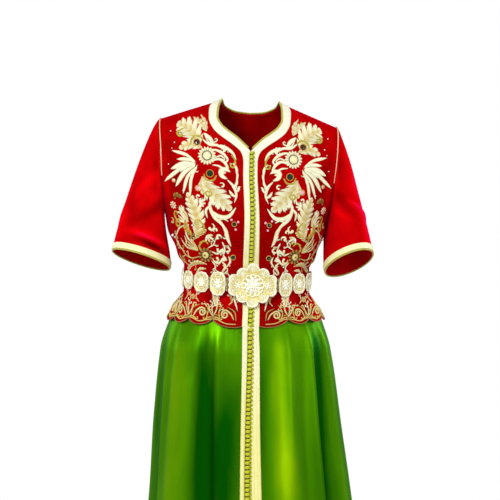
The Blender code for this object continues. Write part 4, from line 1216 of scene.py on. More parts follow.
def row_mesh(name, lines, shape, step, material):
    """A mesh of copies of a mesh along lines of (points, face, size, closed)."""
    points, values, edges, start = [], {"face": [], "size": []}, [], 0
    for line, face, size, closed in lines:
        n = len(line)
        points.append(line)
        values["face"].append(np.broadcast_to(face, (n, 3)))
        values["size"].append(np.broadcast_to(size, (n, 3)))
        edges += [(start + k, start + (k + 1) % n) for k in range(n if closed else n - 1)]
        start += n
    guide = bpy.data.meshes.new(name + "_lines")
    guide.from_pydata(np.concatenate(points).tolist(), edges, [])
    for key, value in values.items():
        layer = guide.attributes.new(key, "FLOAT_VECTOR", "POINT")
        layer.data.foreach_set("vector", np.concatenate(value).astype(float).ravel())
    one = bpy.data.objects.new(name + "_one", shape)
    host = bpy.data.objects.new(name + "_host", guide)
    for obj in (one, host):
        scene.collection.objects.link(obj)
    modifier = host.modifiers.new("Row", "NODES")
    modifier.node_group = ROW_TREE
    given = {"Shape": one, "Step": step, "Finish": material}
    for item in ROW_TREE.interface.items_tree:
        if item.in_out == "INPUT" and item.name in given:
            modifier[item.identifier] = given[item.name]
    host.update_tag()
    bpy.context.view_layer.update()
    seen = host.evaluated_get(bpy.context.evaluated_depsgraph_get())
    made = bpy.data.meshes.new_from_object(seen)
    made.name = name
    made.materials.clear()
    for obj in (host, one):
        bpy.data.objects.remove(obj)
    bpy.data.meshes.remove(guide)
    return made

# %% [markdown]
# ## The buttons
# Each button is a ball of silk cord, knotted by hand, and its loop is a bend of the same cord on
# the other edge. There are over a hundred, 9 mm apart, so a knot has to be light: a small barrel
# across the opening, with three turns of cord swelling round it, and a flat ring for the loop.

# %% A knot with its loop
KNOT_HEIGHT, KNOT_DEPTH, KNOT_HALF = 0.0032, 0.0030, 0.0046
KNOT_ROUND, KNOT_ACROSS, LOOP_POINTS = 10, 7, 9
LOOP_CORD, LOOP_BACK, LOOP_PLACE, LOOP_LONG, LOOP_TALL = 0.0009, 0.0012, -0.75, 0.62, 0.0030


def knot_mesh():
    """One button: its barrel lies along Y and faces +X, and its loop lies beyond it on -Y. Along
    Y it measures half widths of a button, and its row stretches it to metres."""
    across = np.linspace(-1, 1, KNOT_ACROSS)[:, None]
    turn = around(KNOT_ROUND)[None, :]
    belly = (1 - np.abs(across) ** 2.4 * 0.93) ** 0.5
    belly = belly * (1 - 0.13 * np.cos(3 * turn + across * 4.0) * (1 - across**4))
    x, z = KNOT_DEPTH * belly * np.cos(turn), KNOT_HEIGHT * belly * np.sin(turn)
    points = np.stack([x, across * 0.92 + 0 * turn, z], -1).reshape(-1, 3)
    faces, base = tube_faces(KNOT_ACROSS, KNOT_ROUND), len(points)
    # the bulge of each knot carries a painted highlight, and the rest of it painted shade
    uv = np.stack(np.broadcast_arrays(0.78 + 0.22 * (belly > 0.80), across * 0.005), -1).reshape(-1, 2)
    bow = np.linspace(-2.3, 2.3, LOOP_POINTS)
    spoke = np.stack([0 * bow, -LOOP_LONG * np.cos(bow), LOOP_TALL * np.sin(bow)], -1)
    loop = spoke + (-LOOP_BACK, LOOP_PLACE, 0)
    side = spoke / np.linalg.norm(spoke * (0, KNOT_HALF, 1), axis=1, keepdims=True) * LOOP_CORD
    off = side * 0 + (LOOP_CORD, 0, 0)
    tube = loop[:, None] + np.stack([off, side, -off, -side], 1)
    faces += [tuple(base + k for k in face) for face in tube_faces(LOOP_POINTS, 4)]
    uv = np.vstack([uv, np.tile([0.95, 0.0], (4 * LOOP_POINTS, 1))])
    return turned_out(mesh_of("knot", np.vstack([points, tube.reshape(-1, 3)]), faces, uv))

# %% The rows of buttons
# height, shift to the wearer's left, half width of a button
BUTTON_ROW = (
    (-0.112, 0.002, 0.0042), (-0.3, 0, 0.0043), (-0.48, -0.0017, 0.005), (-0.677, -0.0055, 0.0054),
    (-0.873, -0.008, 0.0058), (-1.45, -0.0085, 0.006),
)
BUTTON_STEP, BUTTON_TOP_Z, ROW_BREAK_Z = 0.0093, -0.1115, -0.4745
SKIRT_ROW_TOP_Z, SKIRT_ROW_END_Z = -0.4840, -1.4440
BACKING_WALL, BACKING_CROWN, BACKING_SINK = 0.0006, 0.0005, 0.4

knot_look = finish_of(
    "olive_gold_knots", "olive_gold_cord", cord_color((0.44, 0.48, 0.003), (1.0, 1.0, 0.07)), 0.42,
    lambda t: (height_of(t) * 9000).math("SINE"), Specular_IOR_Level=0.1,
)
# an olive backing strip, made dark as painted shade between the knots
backing_look = finish_of(
    "dark_olive_backing", "olive_gold_cord",
    lambda t: blend(t, noise(t, 400), (0.075, 0.090, 0.0005), (0.18, 0.20, 0.002)),
    0.6, lambda t: noise(t, 900), 0.0004, Specular_IOR_Level=0.1,
)
for name, top, low, on_skirt in (
    ("bodice", BUTTON_TOP_Z, ROW_BREAK_Z, 0), ("skirt", SKIRT_ROW_TOP_Z, SKIRT_ROW_END_Z, 1)
):
    z = np.linspace(top, low, 160)
    shift, half = at(BUTTON_ROW, z).T
    face = outward(0 * z, z, -1)
    line = on_figure(0, z, -1) + face * (2 * LAY_GAP + BRAID_WALL)
    line[:, 1] += on_skirt * (skirt_inset(z) - braid_bridge(z))
    line[:, 0] += shift
    size = np.stack([np.ones_like(half), half * 1.12, np.ones_like(half)], -1)
    rows = [(posed(line + face * KNOT_DEPTH * 0.6), face, size, False)]
    mesh = row_mesh(f"buttons_{name}", rows, knot_mesh(), BUTTON_STEP, knot_look)
    mesh.shade_smooth()
    put_in_scene(mesh, knot_look, f"{name}_button_row")
    across = np.array([-1.0, -0.5, 0.0, 0.5, 1.0])
    strip = line[:, None] + (across[None, :] * half[:, None] * 1.02)[..., None] * (1, 0, 0)
    rise = (1 - across**2 - BACKING_SINK) * BACKING_CROWN
    panel(f"button_backing_{name}", [posed(strip + face[:, None] * rise[None, :, None])], backing_look,
          BACKING_WALL, offset=1)

# %% [markdown]
# ## Small shapes, drawn on the flat
# Filigree and embroidery look rich, but both are only a few shapes, used many times: a rounded
# band that follows a path, which is a wire, a petal or a leaf as its width changes, and a low
# dome, which is a granule, a gem or a pearl. They are drawn on the flat in millimetres, as across,
# up and off, piled into one mesh, and only then laid on the metal or the velvet.


# %% Bands, domes and the paths they follow
class Pile:
    """Closed shapes on the flat, in millimetres, that become one mesh."""

    def __init__(self):
        self.points, self.faces, self.uv, self.tone = [], [], [], []

    def add(self, shape, tone=1.0):
        points, faces, uv = shape
        start = sum(map(len, self.points))
        self.faces += [tuple(int(i) + start for i in face) for face in faces]
        self.points.append(points)
        self.uv.append(uv)
        self.tone.append(np.broadcast_to(tone, (len(points),)))

    def mesh(self, name, put, smooth_faces=True):
        points, uv, tone = map(np.concatenate, (self.points, self.uv, self.tone))
        return turned_out(mesh_of(name, put(points * 0.001), self.faces, uv, tone, smooth_faces))


def left_of(way):
    return np.array([-way[1], way[0]])


def band(path, half_width, height, lift=0.0, sides=5, sweep=0.0, closed=False):
    """A rounded band along a path: its size may vary, and sweep slants its edges forward."""
    path = np.asarray(path, float)
    n = len(path)
    ahead = np.roll(path, -1, 0) - np.roll(path, 1, 0) if closed else np.gradient(path, axis=0)
    ahead = ahead / np.maximum(np.linalg.norm(ahead, axis=1, keepdims=True), 1e-9)
    across = np.stack([-ahead[:, 1], ahead[:, 0]], -1)
    turn = np.linspace(0, pi, sides)[None, :]
    half = np.broadcast_to(half_width, (n,))[:, None]
    rise = np.broadcast_to(height, (n,))[:, None]
    reach = half * np.cos(turn)
    flat = path[:, None] + across[:, None] * reach[..., None]
    flat = flat + ahead[:, None] * (np.abs(reach) * sweep)[..., None]
    off = lift + rise * np.sin(turn)
    points = np.concatenate([flat, off[..., None]], -1).reshape(-1, 3)
    down = travelled(path)[:, None] * 0.001
    uv = np.stack(np.broadcast_arrays((np.cos(turn) + 1) / 2, down), -1).reshape(-1, 2)
    return points, tube_faces(n, sides, closed), uv


def dome(x, z, radius, height, lift=0.0, sides=10, rings=3, start=0.0):
    """A low dome with a flat back."""
    turn, level = around(sides, start), np.linspace(0, pi / 2, rings + 1)[:-1, None]
    ring, off = radius * np.cos(level), lift + height * np.sin(level) + 0 * turn
    points = np.stack([x + ring * np.cos(turn), z + ring * np.sin(turn), off], -1).reshape(-1, 3)
    points = np.vstack([points, [[x, z, lift + height]]])
    top, base = len(points) - 1, (rings - 1) * sides
    faces = [tuple(f) for f in grid_faces(rings, sides, True)]
    faces += [(base + k, base + (k + 1) % sides, top) for k in range(sides)]
    faces += [tuple(range(sides))[::-1]]
    return points, faces, np.tile([0.5, 0.0], (len(points), 1))


# %% Paths and widths
def bend(points, step=1.5):
    """A smooth path through a few points, with a place about every `step` millimetres."""
    points = np.asarray(points, float)
    n = len(points)
    wide = np.vstack([2 * points[0] - points[1], points, 2 * points[-1] - points[-2]])
    t = np.linspace(0, n - 1, 20 * (n - 1) + 1)
    i = np.minimum(t.astype(int), n - 2)
    s = (t - i)[:, None]
    a, b, c, d = (wide[i + k] for k in range(4))
    line = b + 0.5 * s * (c - a + s * (2 * a - 5 * b + 4 * c - d + s * (3 * b - a - 3 * c + d)))
    return along(line, spread(line, max(4, int(length_of(line) / step) + 1)))


def scroll(points, radius=0.0, turns=0.0, inner=0.2, step=1.5):
    """A stem through a few points that ends in a curl, to its left where turns is above zero."""
    line = bend(points, step)
    if turns == 0:
        return line
    centre = line[-1] + np.sign(turns) * radius * left_of(unit(line[-1] - line[-2]))
    t = np.linspace(0, 1, max(8, int(abs(turns) * 3.8 * radius / step)))[1:]
    start = np.arctan2(line[-1, 1] - centre[1], line[-1, 0] - centre[0])
    curl = centre + radius * mix(1, inner, t)[:, None] * toward(start + 2 * pi * turns * t)
    return np.vstack([line, curl])


def circle(x, z, radius, count):
    return (x, z) + radius * toward(around(count))


def fullness(count, start=0.3, end=0.1, peak=0.5, power=0.8):
    """Widths along a path: a share at each end, and full at the peak."""
    t = np.linspace(0, 1, count)
    share = np.where(t < peak, t / peak, (1 - t) / (1 - peak))
    ends = np.where(t < peak, start, end)
    return ends + (1 - ends) * np.sin(share * pi / 2) ** power

# %% [markdown]
# ## The belt
# The belt is cast and wired work: a lobed buckle and seventeen plates, joined by hinge barrels, all pale
# gilt, with the barrels painted darker as shade between the plates. Each plate has a raised rim set with
# granules, two rings of wire, a flower in the middle and little scrolls between. Its darkest tone is
# painted shade on the floor behind the wires and in the pierced dots, and that contrast is what makes it
# read as filigree.


# %% Gilt metal
def gilt_color(tree):
    tone = tone_of(tree) + noise(tree, 350) * 0.5 - 0.25
    return shades(tree, tone, (0.16, 0.085, 0.004), (0.95, 0.84, 0.33), (1.0, 1.0, 0.86))


gilt = finish_of(
    "gilt_filigree", "gilt_filigree", gilt_color,
    lambda t: noise(t, 500) * 0.25 + 0.24 + (1 - tone_of(t)) * 0.25,
    lambda t: noise(t, 1100, 3, 0.7), 0.00015,
    Metallic=0.3, Specular_IOR_Level=0.35,
)

# %% Parts of a casting, on the flat
GRANULE, FLOOR, RECESS_SHADE = 0.95, 0.36, 0.0  # a radius in millimetres, then two tones of painted shade: the floor behind the wires, and the pierced dots and the grooves of the hinges


def lobed(scale_x, scale_z, lobes, depth, count, square=2.0):
    """A lobed ring: an oval, or a squarer one, whose radius swells once for each lobe."""
    turn = around(count)
    reach = (np.abs(np.cos(turn)) ** square + np.abs(np.sin(turn)) ** square) ** (-1 / square)
    reach = reach * (1 - depth * (1 - np.abs(np.cos(turn * lobes / 2))))
    return toward(turn) * reach[:, None] * (scale_x, scale_z)


def tray(pile, outline, levels):
    """A solid through rings of one outline: (scale, height, tone) from its back to its middle; the tones
    are painted shade, darker down in the hollows.
    """
    n = len(outline)
    rings = [np.hstack([outline * scale, np.full((n, 1), height)]) for scale, height, _ in levels]
    uv = np.tile([0.5, 0.0], (n * len(levels), 1))
    tone = np.repeat([level[2] for level in levels], n)
    pile.add((np.concatenate(rings), tube_faces(len(levels), n), uv), tone)


def flower(pile, x, z, count, inner, outer, width, height, lift, start=0.0, tone=1.0, stretch=1.0):
    """Petals round a centre."""
    for way in toward(around(count, start)) * (1, stretch):
        reaches = inner, (inner + outer) / 2, outer
        path = bend([(x, z) + way * far for far in reaches], (outer - inner) / 6)
        full = fullness(len(path), 0.35, 0.18, 0.62)
        pile.add(band(path, width * full, height * (0.4 + 0.6 * full), lift, 5), tone)


def granules(outline, lift=2.2, shift=0.935):
    """The line of the granules on a rim, in the drawing's own millimetres."""
    return np.hstack([outline * shift, np.full((len(outline), 1), lift)])


# %% One plate, on the flat
def plate_drawing(width, height):
    """A plate's tray, wires and flower, and the line that its granules follow."""
    pile, a, b = Pile(), width / 2, height / 2
    small, edge = min(a, b), lobed(a, b, 12, 0.05, 60, 2.7)
    tray(pile, edge, ((0.95, 0, 0.5), (1.0, 0.5, 0.8), (1.0, 1.7, 0.9), (0.97, 2.2, 1.0),
                      (0.90, 2.2, 0.8), (0.87, 1.2, 0.34), (0.3, 1.3, FLOOR)))
    for scale, half, tone in ((0.80, 0.55, 0.95), (0.56, 0.6, 1.0)):
        pile.add(band(edge * scale, half, 1.1, 1.1, 5, closed=True), tone)
    for way in toward(around(12, pi / 12)):
        # dark dots of painted shade for the piercings
        pile.add(dome(*way * (0.68 * a, 0.68 * b), 0.8, 0.5, 1.2, 6, 2), RECESS_SHADE)
    flower(pile, 0, 0, 8, small * 0.14, small * 0.52, small * 0.15, 1.5, 1.6, pi / 8, 1.0, b / a * 0.9)
    pile.add(dome(0, 0, small * 0.20, 2.6, 1.5, 12), 1.0)
    flower(pile, 0, 0, 5, 0.3, small * 0.17, 0.75, 0.7, 3.6, 0.3, 0.75)
    for ahead in toward(around(8, pi / 8)):
        way, side = ahead * (a, b) * 1.07, left_of(ahead)
        for hand in (1, -1):
            aside = side * hand * small
            path = scroll([way * 0.60, way * 0.68 + aside * 0.07, way * 0.80 + aside * 0.10],
                          small * 0.07, -hand * 0.9, 0.3, 0.7)
            pile.add(band(path, 0.42, 0.9, 1.1, 4), 0.9)
        pile.add(dome(*(way * 0.705), 0.8, 1.3, 1.1, 6, 2), 1.0)
    return pile, granules(edge)


# %% Where a plate is: its middle and its axes, across, up and out
def corners_of(node):
    """The corners of a CAD node, and its axes from the longest to the shortest."""
    corners = np.array([v.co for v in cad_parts[node].data.vertices])
    corners = np.unique(corners.round(6), axis=0)
    return corners, np.linalg.svd(corners - corners.mean(0), full_matrices=False)[2]


def plate_place(node):
    """A function that lays a drawing on a plate's CAD node, the way out, and the plate's size."""
    corners, (up, _, out) = corners_of(node)
    middle = corners.mean(0)
    up = up * np.sign(up[2])
    out = out * np.sign(out[0] * middle[0] + out[1] * middle[1])
    axes = np.stack([np.cross(up, out), up, out])
    local = (corners - middle) @ axes.T
    low, high = local.min(0), local.max(0)
    base = middle + ((low + high) / 2 * (1, 1, 0) + low * (0, 0, 1)) @ axes
    return (lambda points: base + points @ axes), out, (high - low) * 1000


def gilt_piece(name, pile, put, rims, step, node):
    """A casting: a drawing and the granules on its rims, as one mesh in the place of its node."""
    mesh = pile.mesh(name, put)
    dots = row_mesh(name + "_dots", rims, bead, step, gilt)
    edited(mesh, lambda bm: bm.from_mesh(dots))
    bpy.data.meshes.remove(dots)
    mesh.shade_smooth()
    put_in_scene(mesh, gilt, node)


bead = Pile()
bead.add(dome(0, 0, GRANULE, GRANULE, 0, 7, 2))
bead = bead.mesh("granule", lambda points: points[:, [2, 0, 1]])
for node in ["belt_plate_back"] + [f"belt_plate_{name}_{k}" for name, _ in HANDS for k in range(1, 9)]:
    put, out, (width, height, _) = plate_place(node)
    pile, line = plate_drawing(width, height)
    gilt_piece(node.replace("belt", "filigree"), pile, put, [(put(line * 0.001), out, 1.0, True)],
               0.0022, node)

# %% The buckle's outline
BUCKLE_LOBES = (
    (0, 0, 34), (0, 34.5, 13), (0, -34.5, 13), (30, 0, 19.5), (-30, 0, 19.5),
    (21.5, 23.5, 13.5), (-21.5, 23.5, 13.5), (21.5, -23.5, 13.5), (-21.5, -23.5, 13.5),
)
WING_CORNERS = tuple((x, z, 11.5) for x in (-40.5, 40.5) for z in (-11.5, 0, 11.5))
BELT_SHIFT, BELT_DIP, BUCKLE_STAND, BUCKLE_BEND = 0.003, 0.050, 0.0118, 0.240
BUCKLE_FACE = -(float(at(BODY, BELT_Z)[1]) + BUCKLE_STAND)


def union_ring(discs, count):
    """The outline of overlapping discs, seen from the middle."""
    turn, reach = around(count), np.zeros(count)
    for x, z, radius in discs:
        ahead = x * np.cos(turn) + z * np.sin(turn)
        inside = radius * radius - (x * x + z * z - ahead * ahead)
        reach = np.maximum(reach, np.where(inside > 0, ahead + np.sqrt(np.maximum(inside, 0)), 0))
    return toward(turn) * reach[:, None]


def on_buckle(points):
    """A drawing laid on the buckle: bent round the waist, and tilted with the belt."""
    shift, turn, drop = at(STANCE, BELT_Z)
    x = points[:, 0] + BELT_SHIFT
    y = BUCKLE_FACE - points[:, 2] + points[:, 0] ** 2 / (2 * BUCKLE_BEND)
    z = points[:, 1] + BELT_DIP * BUCKLE_FACE
    c, s = cos(radians(turn)), sin(radians(turn))
    x, y = x * c - y * s, x * s + y * c
    tilt = np.hypot(1.0, drop)
    x, z = (x + z * drop) / tilt, (z - x * drop) / tilt
    return np.stack([x + shift, y, z + BELT_Z - drop * shift], -1)

# %% The buckle's lobes, on the flat
pile, edge = Pile(), union_ring(BUCKLE_LOBES + WING_CORNERS, 160)
tray(pile, edge, ((0.95, 0, 0.5), (1.0, 0.8, 0.8), (1.0, 2.6, 0.9), (0.975, 3.4, 1.0),
                  (0.925, 3.4, 0.8), (0.905, 2.2, FLOOR), (0.4, 2.6, 0.40)))
for scale, half, lift, tone in ((0.88, 0.55, 2.3, 0.9), (0.945, 0.5, 3.3, 1.0)):
    pile.add(band(edge * scale, half, 1.0, lift, 5, closed=True), tone)
for x, z, radius in BUCKLE_LOBES[1:]:
    far = np.hypot(x, z)
    way = np.array([x, z]) / far
    middle, side = way * (far + radius * 0.12), left_of(way)
    pile.add(band(circle(*middle, radius * 0.52, 26), 0.5, 1.3, 2.2, 5, closed=True), 1.0)
    flower(pile, *middle, 6, radius * 0.10, radius * 0.42, radius * 0.10, 1.3, 2.3, 0.2, 0.95)
    pile.add(dome(*middle, radius * 0.15, 1.7, 3.0, 8, 2), 1.0)
    for hand in (1, -1):
        start = middle - way * radius * 0.15 + side * hand * radius * 0.62
        path = scroll([start, start + way * radius * 0.4, start + way * radius * 0.62 - side * hand],
                      radius * 0.12, hand * 1.1, 0.3, 0.8)
        pile.add(band(path, 0.45, 1.1, 2.2, 4), 0.9)
        pile.add(dome(*(middle + side * hand * radius * 0.80), 0.9, 1.3, 2.2, 6, 2), 1.0)
    for k in range(5):
        eyelet = way * far + radius * 0.74 * toward(np.arctan2(way[1], way[0]) + (k - 2) * 0.55)
        # eyelets as dots of painted shade
        pile.add(dome(*(eyelet * 0.97), 0.9, 0.6, 2.4, 6, 2), RECESS_SHADE)
for x, z, radius in WING_CORNERS:
    if z:
        place = (x * 1.04, z * 1.12)
        pile.add(band(circle(*place, radius * 0.42, 14), 0.45, 1.2, 2.2, 4, closed=True), 1.0)
        pile.add(dome(*place, 1.9, 1.7, 2.4, 8, 2), 1.0)

# %% The buckle's flower, and its casting
disc = lobed(25, 25, 12, 0.10, 96)
tray(pile, disc, ((0.98, 2.3, 0.4), (1.0, 3.6, 0.8), (0.97, 4.6, 1.0), (0.91, 4.6, 0.9),
                  (0.88, 3.9, 0.30), (0.5, 5.2, FLOOR), (0.2, 5.4, FLOOR)))
flower(pile, 0, 0, 12, 15.5, 22.0, 2.5, 1.6, 4.0, pi / 12, 0.95)
flower(pile, 0, 0, 9, 4.5, 18.5, 4.4, 2.4, 4.6, 0.25, 1.0)
for way in toward(around(9, 0.25)):
    pile.add(band(bend([way * 6, way * 11, way * 15.5], 1.5), 0.32, 0.6, 6.7, 4), 0.25)
flower(pile, 0, 0, 8, 2.0, 9.2, 2.3, 1.8, 6.6, 0.1, 1.0)
pile.add(dome(0, 0, 3.6, 2.4, 7.0, 14), 1.0)
flower(pile, 0, 0, 6, 0.4, 3.0, 0.8, 0.6, 9.0, 0.0, 0.7)
rims = ((edge, 3.3, 0.965, 1.2), (disc, 4.5, 0.945, 1.0), (circle(0, 0, 10.5, 60), 6.9, 1.0, 0.9))
rims = [(on_buckle(granules(*rim) * 0.001), (0, -1, 0), size, True) for *rim, size in rims]
gilt_piece("filigree_buckle", pile, on_buckle, rims, 0.0025, "belt_buckle")

# %% Hinge barrels
# the barrels are painted darker, as shade between the plates, and the grooves between their knuckles
# darker still
KNUCKLES, BARREL_SIDES, BARREL_SHADE = 5, 10, 0.22
KNUCKLE = ((0.03, 0.66), (0.12, 1.0), (0.5, 1.08), (0.88, 1.0), (0.97, 0.66))  # place, girth


def barrel(node):
    """A turned barrel of five knuckles in the place of its CAD node."""
    corners, (up, _, _) = corners_of(node)
    middle = (corners.min(0) + corners.max(0)) / 2
    height = np.abs((corners - middle) @ up).max()
    radius = np.linalg.norm(np.cross(corners - middle, up), axis=1).max()
    rings = [((k + place) / KNUCKLES * 2 - 1, girth) for k in range(KNUCKLES) for place, girth in KNUCKLE]
    marks, girth = np.array(rings).T
    a = unit(np.cross(up, (1.0, 0.3, 0.0)))
    ring = toward(around(BARREL_SIDES)) @ np.stack([a, np.cross(up, a)])
    points = middle + up * (marks * height)[:, None, None] + ring * (girth * radius)[:, None, None]
    tone = np.repeat(np.where(girth < 0.8, RECESS_SHADE, BARREL_SHADE), BARREL_SIDES)
    return points, tube_faces(len(marks), BARREL_SIDES), None, tone


for hinge in [f"belt_hinge_{name}_{k}" for name, _ in HANDS for k in range(1, 10)]:
    name = hinge.replace("belt_hinge", "hinge_barrel")
    put_in_scene(turned_out(mesh_of(name, *barrel(hinge))), gilt, hinge)

# %% [markdown]
# ## The embroidery
# Both fronts are worked in cream and gold thread: acanthus leaves, sunflowers, sprays and scrolls
# in raised satin stitch, with arches of olive-gold cord, glass stones and pearls among them. Every
# motif is a band or a dome on the flat. A leaf is a band whose width rises and drops once for each
# lobe, with its edges swept towards the tip, and the thread of a satin stitch runs straight across
# it, so the band's own map already knows the way of the thread. One front is drawn, and laid
# mirrored on the other. The drawing is measured along the cloth, so it isn't stretched at the side.

# %% From metres of cloth to the figure
CLOTH_MOST, CLOTH_STEPS, CLOTH_ROW, CLOTH_ROWS = 0.24, 121, 0.01, 50
SHOULDER_KEEP, SINK = 0.004, 0.0002


def cloth_table(side):
    """For some heights, x at even steps of cloth from the centre line to the side."""
    table = []
    for z in -CLOTH_ROW * np.arange(CLOTH_ROWS):
        line = section_point(np.linspace(0, pi / 2 * 0.995, 160), z, side)
        table.append(np.interp(np.linspace(0, CLOTH_MOST, CLOTH_STEPS), travelled(line), line[:, 0]))
    return np.array(table)


CLOTH = {side: cloth_table(side) for side in (-1, 1)}


def on_cloth(side, hand):
    """A function that lays a drawing on a front or on half of the back."""
    def put(points):
        row = np.clip(-points[:, 1] / CLOTH_ROW, 0, CLOTH_ROWS - 1.001)
        column = np.clip(points[:, 0] / CLOTH_MOST, 0, 0.99999) * (CLOTH_STEPS - 1)
        i, j = row.astype(int), column.astype(int)
        p, q, table = row - i, column - j, CLOTH[side]
        x = mix(mix(table[i, j], table[i, j + 1], q), mix(table[i + 1, j], table[i + 1, j + 1], q), p)
        z = np.minimum(points[:, 1], shoulder_z(x) - SHOULDER_KEEP)
        return lay(x, z, side, hand, points[:, 2] - SINK)
    return put


print("heights and steps of the cloth tables:", CLOTH[-1].shape)

# %% Thread, couched cord, glass and pearl
STITCH, TWIST = 0.0007, 0.0024
BLACK, GREEN, WINE, PINK = 0.0, 0.40, 0.66, 1.0  # tones of the glass


def silk_color(tree):
    tone = tone_of(tree) + noise(tree, 180) * 0.3 - 0.15
    thread = shades(tree, tone, (0.16, 0.045, 0.004), (0.74, 0.50, 0.07), (1.0, 1.0, 0.70))
    # tones below zero take the dark maroon of the painted shadow round the motifs
    return blend(tree, (tone * 2.0 + 1.2).clamped(), (0.055, 0.0005, 0.0005), thread)


def silk_height(tree):
    across, down = uv_parts(tree)
    return (down * (2 * pi / STITCH) + across * 3.0).math("SINE") * 0.5 + 0.5


def couched_color(tree):
    across, down = uv_parts(tree)
    twist = (down * (2 * pi / TWIST) + across * 4.0).math("SINE") * 0.5 + 0.5
    return blend(tree, twist, (0.32, 0.24, 0.008), (0.78, 0.66, 0.06))


def glass_color(tree):
    tone = tone_of(tree)
    cool = blend(tree, (tone * 2.5).clamped(), (0.0008, 0.002, 0.002), (0.001, 0.020, 0.011))
    warm = blend(tree, (tone * 3.0 - 2.0).clamped(), (0.06, 0.0, 0.002), (0.92, 0.40, 0.52))
    return blend(tree, (tone * 20.0 - 9.0).clamped(), cool, warm)


silk = finish_of("satin_stitch", "cream_gold_braid", silk_color, 0.42, silk_height,
                 Specular_IOR_Level=0.35)
couched = finish_of("couched_cord", "olive_gold_cord", couched_color, 0.40, silk_height,
                    Specular_IOR_Level=0.5)
glass = finish_of("glass_stones", None, glass_color, lambda t: noise(t, 700, 1) * 0.1 + 0.05,
                  Specular_IOR_Level=0.5, Coat_Weight=0.4, Coat_Roughness=0.03)
pearl_look = finish_of(
    "pearl", None, lambda t: blend(t, noise(t, 300), (0.95, 0.90, 0.82), (1.0, 0.96, 0.94)),
    0.22, Specular_IOR_Level=0.7, Coat_Weight=0.6, Sheen_Weight=0.3,
)

# %% Motifs
SHADOW_TONE, SHADOW_WIDTH = -1.0, 1.5  # a painted shadow in dark maroon round every motif, its width in millimetres
FAN_SWEEP = 0.25


def stitched(pile, line, width, tone=1.0, height=1.3, start=0.35, end=0.12, peak=0.45, lift=0.0):
    """One raised stroke of satin stitch, with a painted shadow round it and painted shade across it."""
    full = fullness(len(line), start, end, peak)
    if lift == 0:
        pile.add(band(line, width * full + SHADOW_WIDTH, 0.45, 0.0, 3), SHADOW_TONE)
    # painted shade across the stroke: darker at both edges, most on one side
    shade = np.tile(tone + np.array([-0.30, 0.10, 0.12, -0.05, -0.42]), len(line))
    pile.add(band(line, width * full, height * (0.45 + 0.55 * full), lift, 5), shade)


def acanthus(pile, points, width, lobes, tone=1.0, height=2.2):
    """A leaf with swept lobes, each with a frilled edge, and a rib, with a painted shadow round it and
    painted shade at the base of each lobe and across the leaf.
    """
    line, n = bend(points, 1.0), lobes * 12 + 1
    line = along(line, spread(line, n))
    t = np.linspace(0, 1, n)
    lobe, frill = (t * lobes) % 1.0, (t * lobes * 3) % 1.0
    full = fullness(n, 0.30, 0.05, 0.40, 0.9)
    half = width * full * (0.42 + 0.42 * np.sin(lobe * 2.3) ** 0.8 + 0.16 * frill)
    section = np.array([-0.20, 0.06, 0.0, -0.28, 0.04, 0.08, -0.10])
    # painted shade at the base of each lobe and frill, and across the leaf
    shade = tone - 0.32 * (1 - lobe)[:, None] ** 2 - 0.12 * (1 - frill)[:, None] ** 2 + section[None, :]
    pile.add(band(line, half + SHADOW_WIDTH, 0.45, 0.0, 3, 0.7), SHADOW_TONE)
    pile.add(band(line, half, height * (0.3 + 0.7 * full), 0.0, 7, 0.7), shade.ravel())
    stitched(pile, line[: int(n * 0.86) : 3], 0.9, tone - 0.25, 0.6, 0.9, 0.3, 0.2, height * 0.93)


def little_c(pile, x, z, radius, start, turns, width, tone=0.9):
    """A small hook of satin stitch with a round end."""
    t = np.linspace(0, 1, max(9, int(radius * abs(turns) * 4)))
    way = toward(radians(start) + 2 * pi * turns * t)
    line = (x, z) + radius * mix(1, 0.42, t)[:, None] * way
    stitched(pile, line, width, tone, 1.3, 0.2, 0.75, 0.6)
    pile.add(dome(*line[-1], width * 1.25, 1.6, 0.0, 8, 2), tone)


def fan(pile, x, z, first, last, count, reach, width, tone):
    """Strokes that spread from one point, the middle ones longest."""
    for k in range(count):
        share = k / (count - 1)
        way = toward(radians(mix(first, last, share)))
        side = left_of(way) * FAN_SWEEP * (share - 0.5)
        far = reach * (0.78 + 0.22 * sin(pi * share))
        steps = way * 2.0, (way + side * 0.5) * far * 0.6, (way + side) * far
        line = bend([(x, z) + step for step in steps])
        stitched(pile, line, width, tone + (0.16 if k % 2 else -0.10), 1.4, 0.3, 0.3, 0.68)


def sprig(pile, points, count, reach, width, tone=0.8):
    """A stem with curled shoots on both sides, each a little smaller than the last."""
    stem = bend(points, 1.0)
    stitched(pile, stem, width, tone, 1.3, 0.5, 0.3, 0.3)
    for k in range(count):
        place, hand = int(mix(0.10, 0.90, (k + 0.5) / count) * (len(stem) - 1)), 1 if k % 2 else -1
        root, way = stem[place], unit(stem[place + 1] - stem[place])
        far = reach * (1 - 0.35 * k / count)
        way, side = way * far, left_of(way) * hand * far
        shoot = [root, root + way * 0.55 + side * 0.30, root + way * 0.75 + side * 0.85]
        shade = tone + (0.2 if k % 3 else -0.2)
        stitched(pile, scroll(shoot, far * 0.24, -hand * 0.8), width * 0.85, shade)


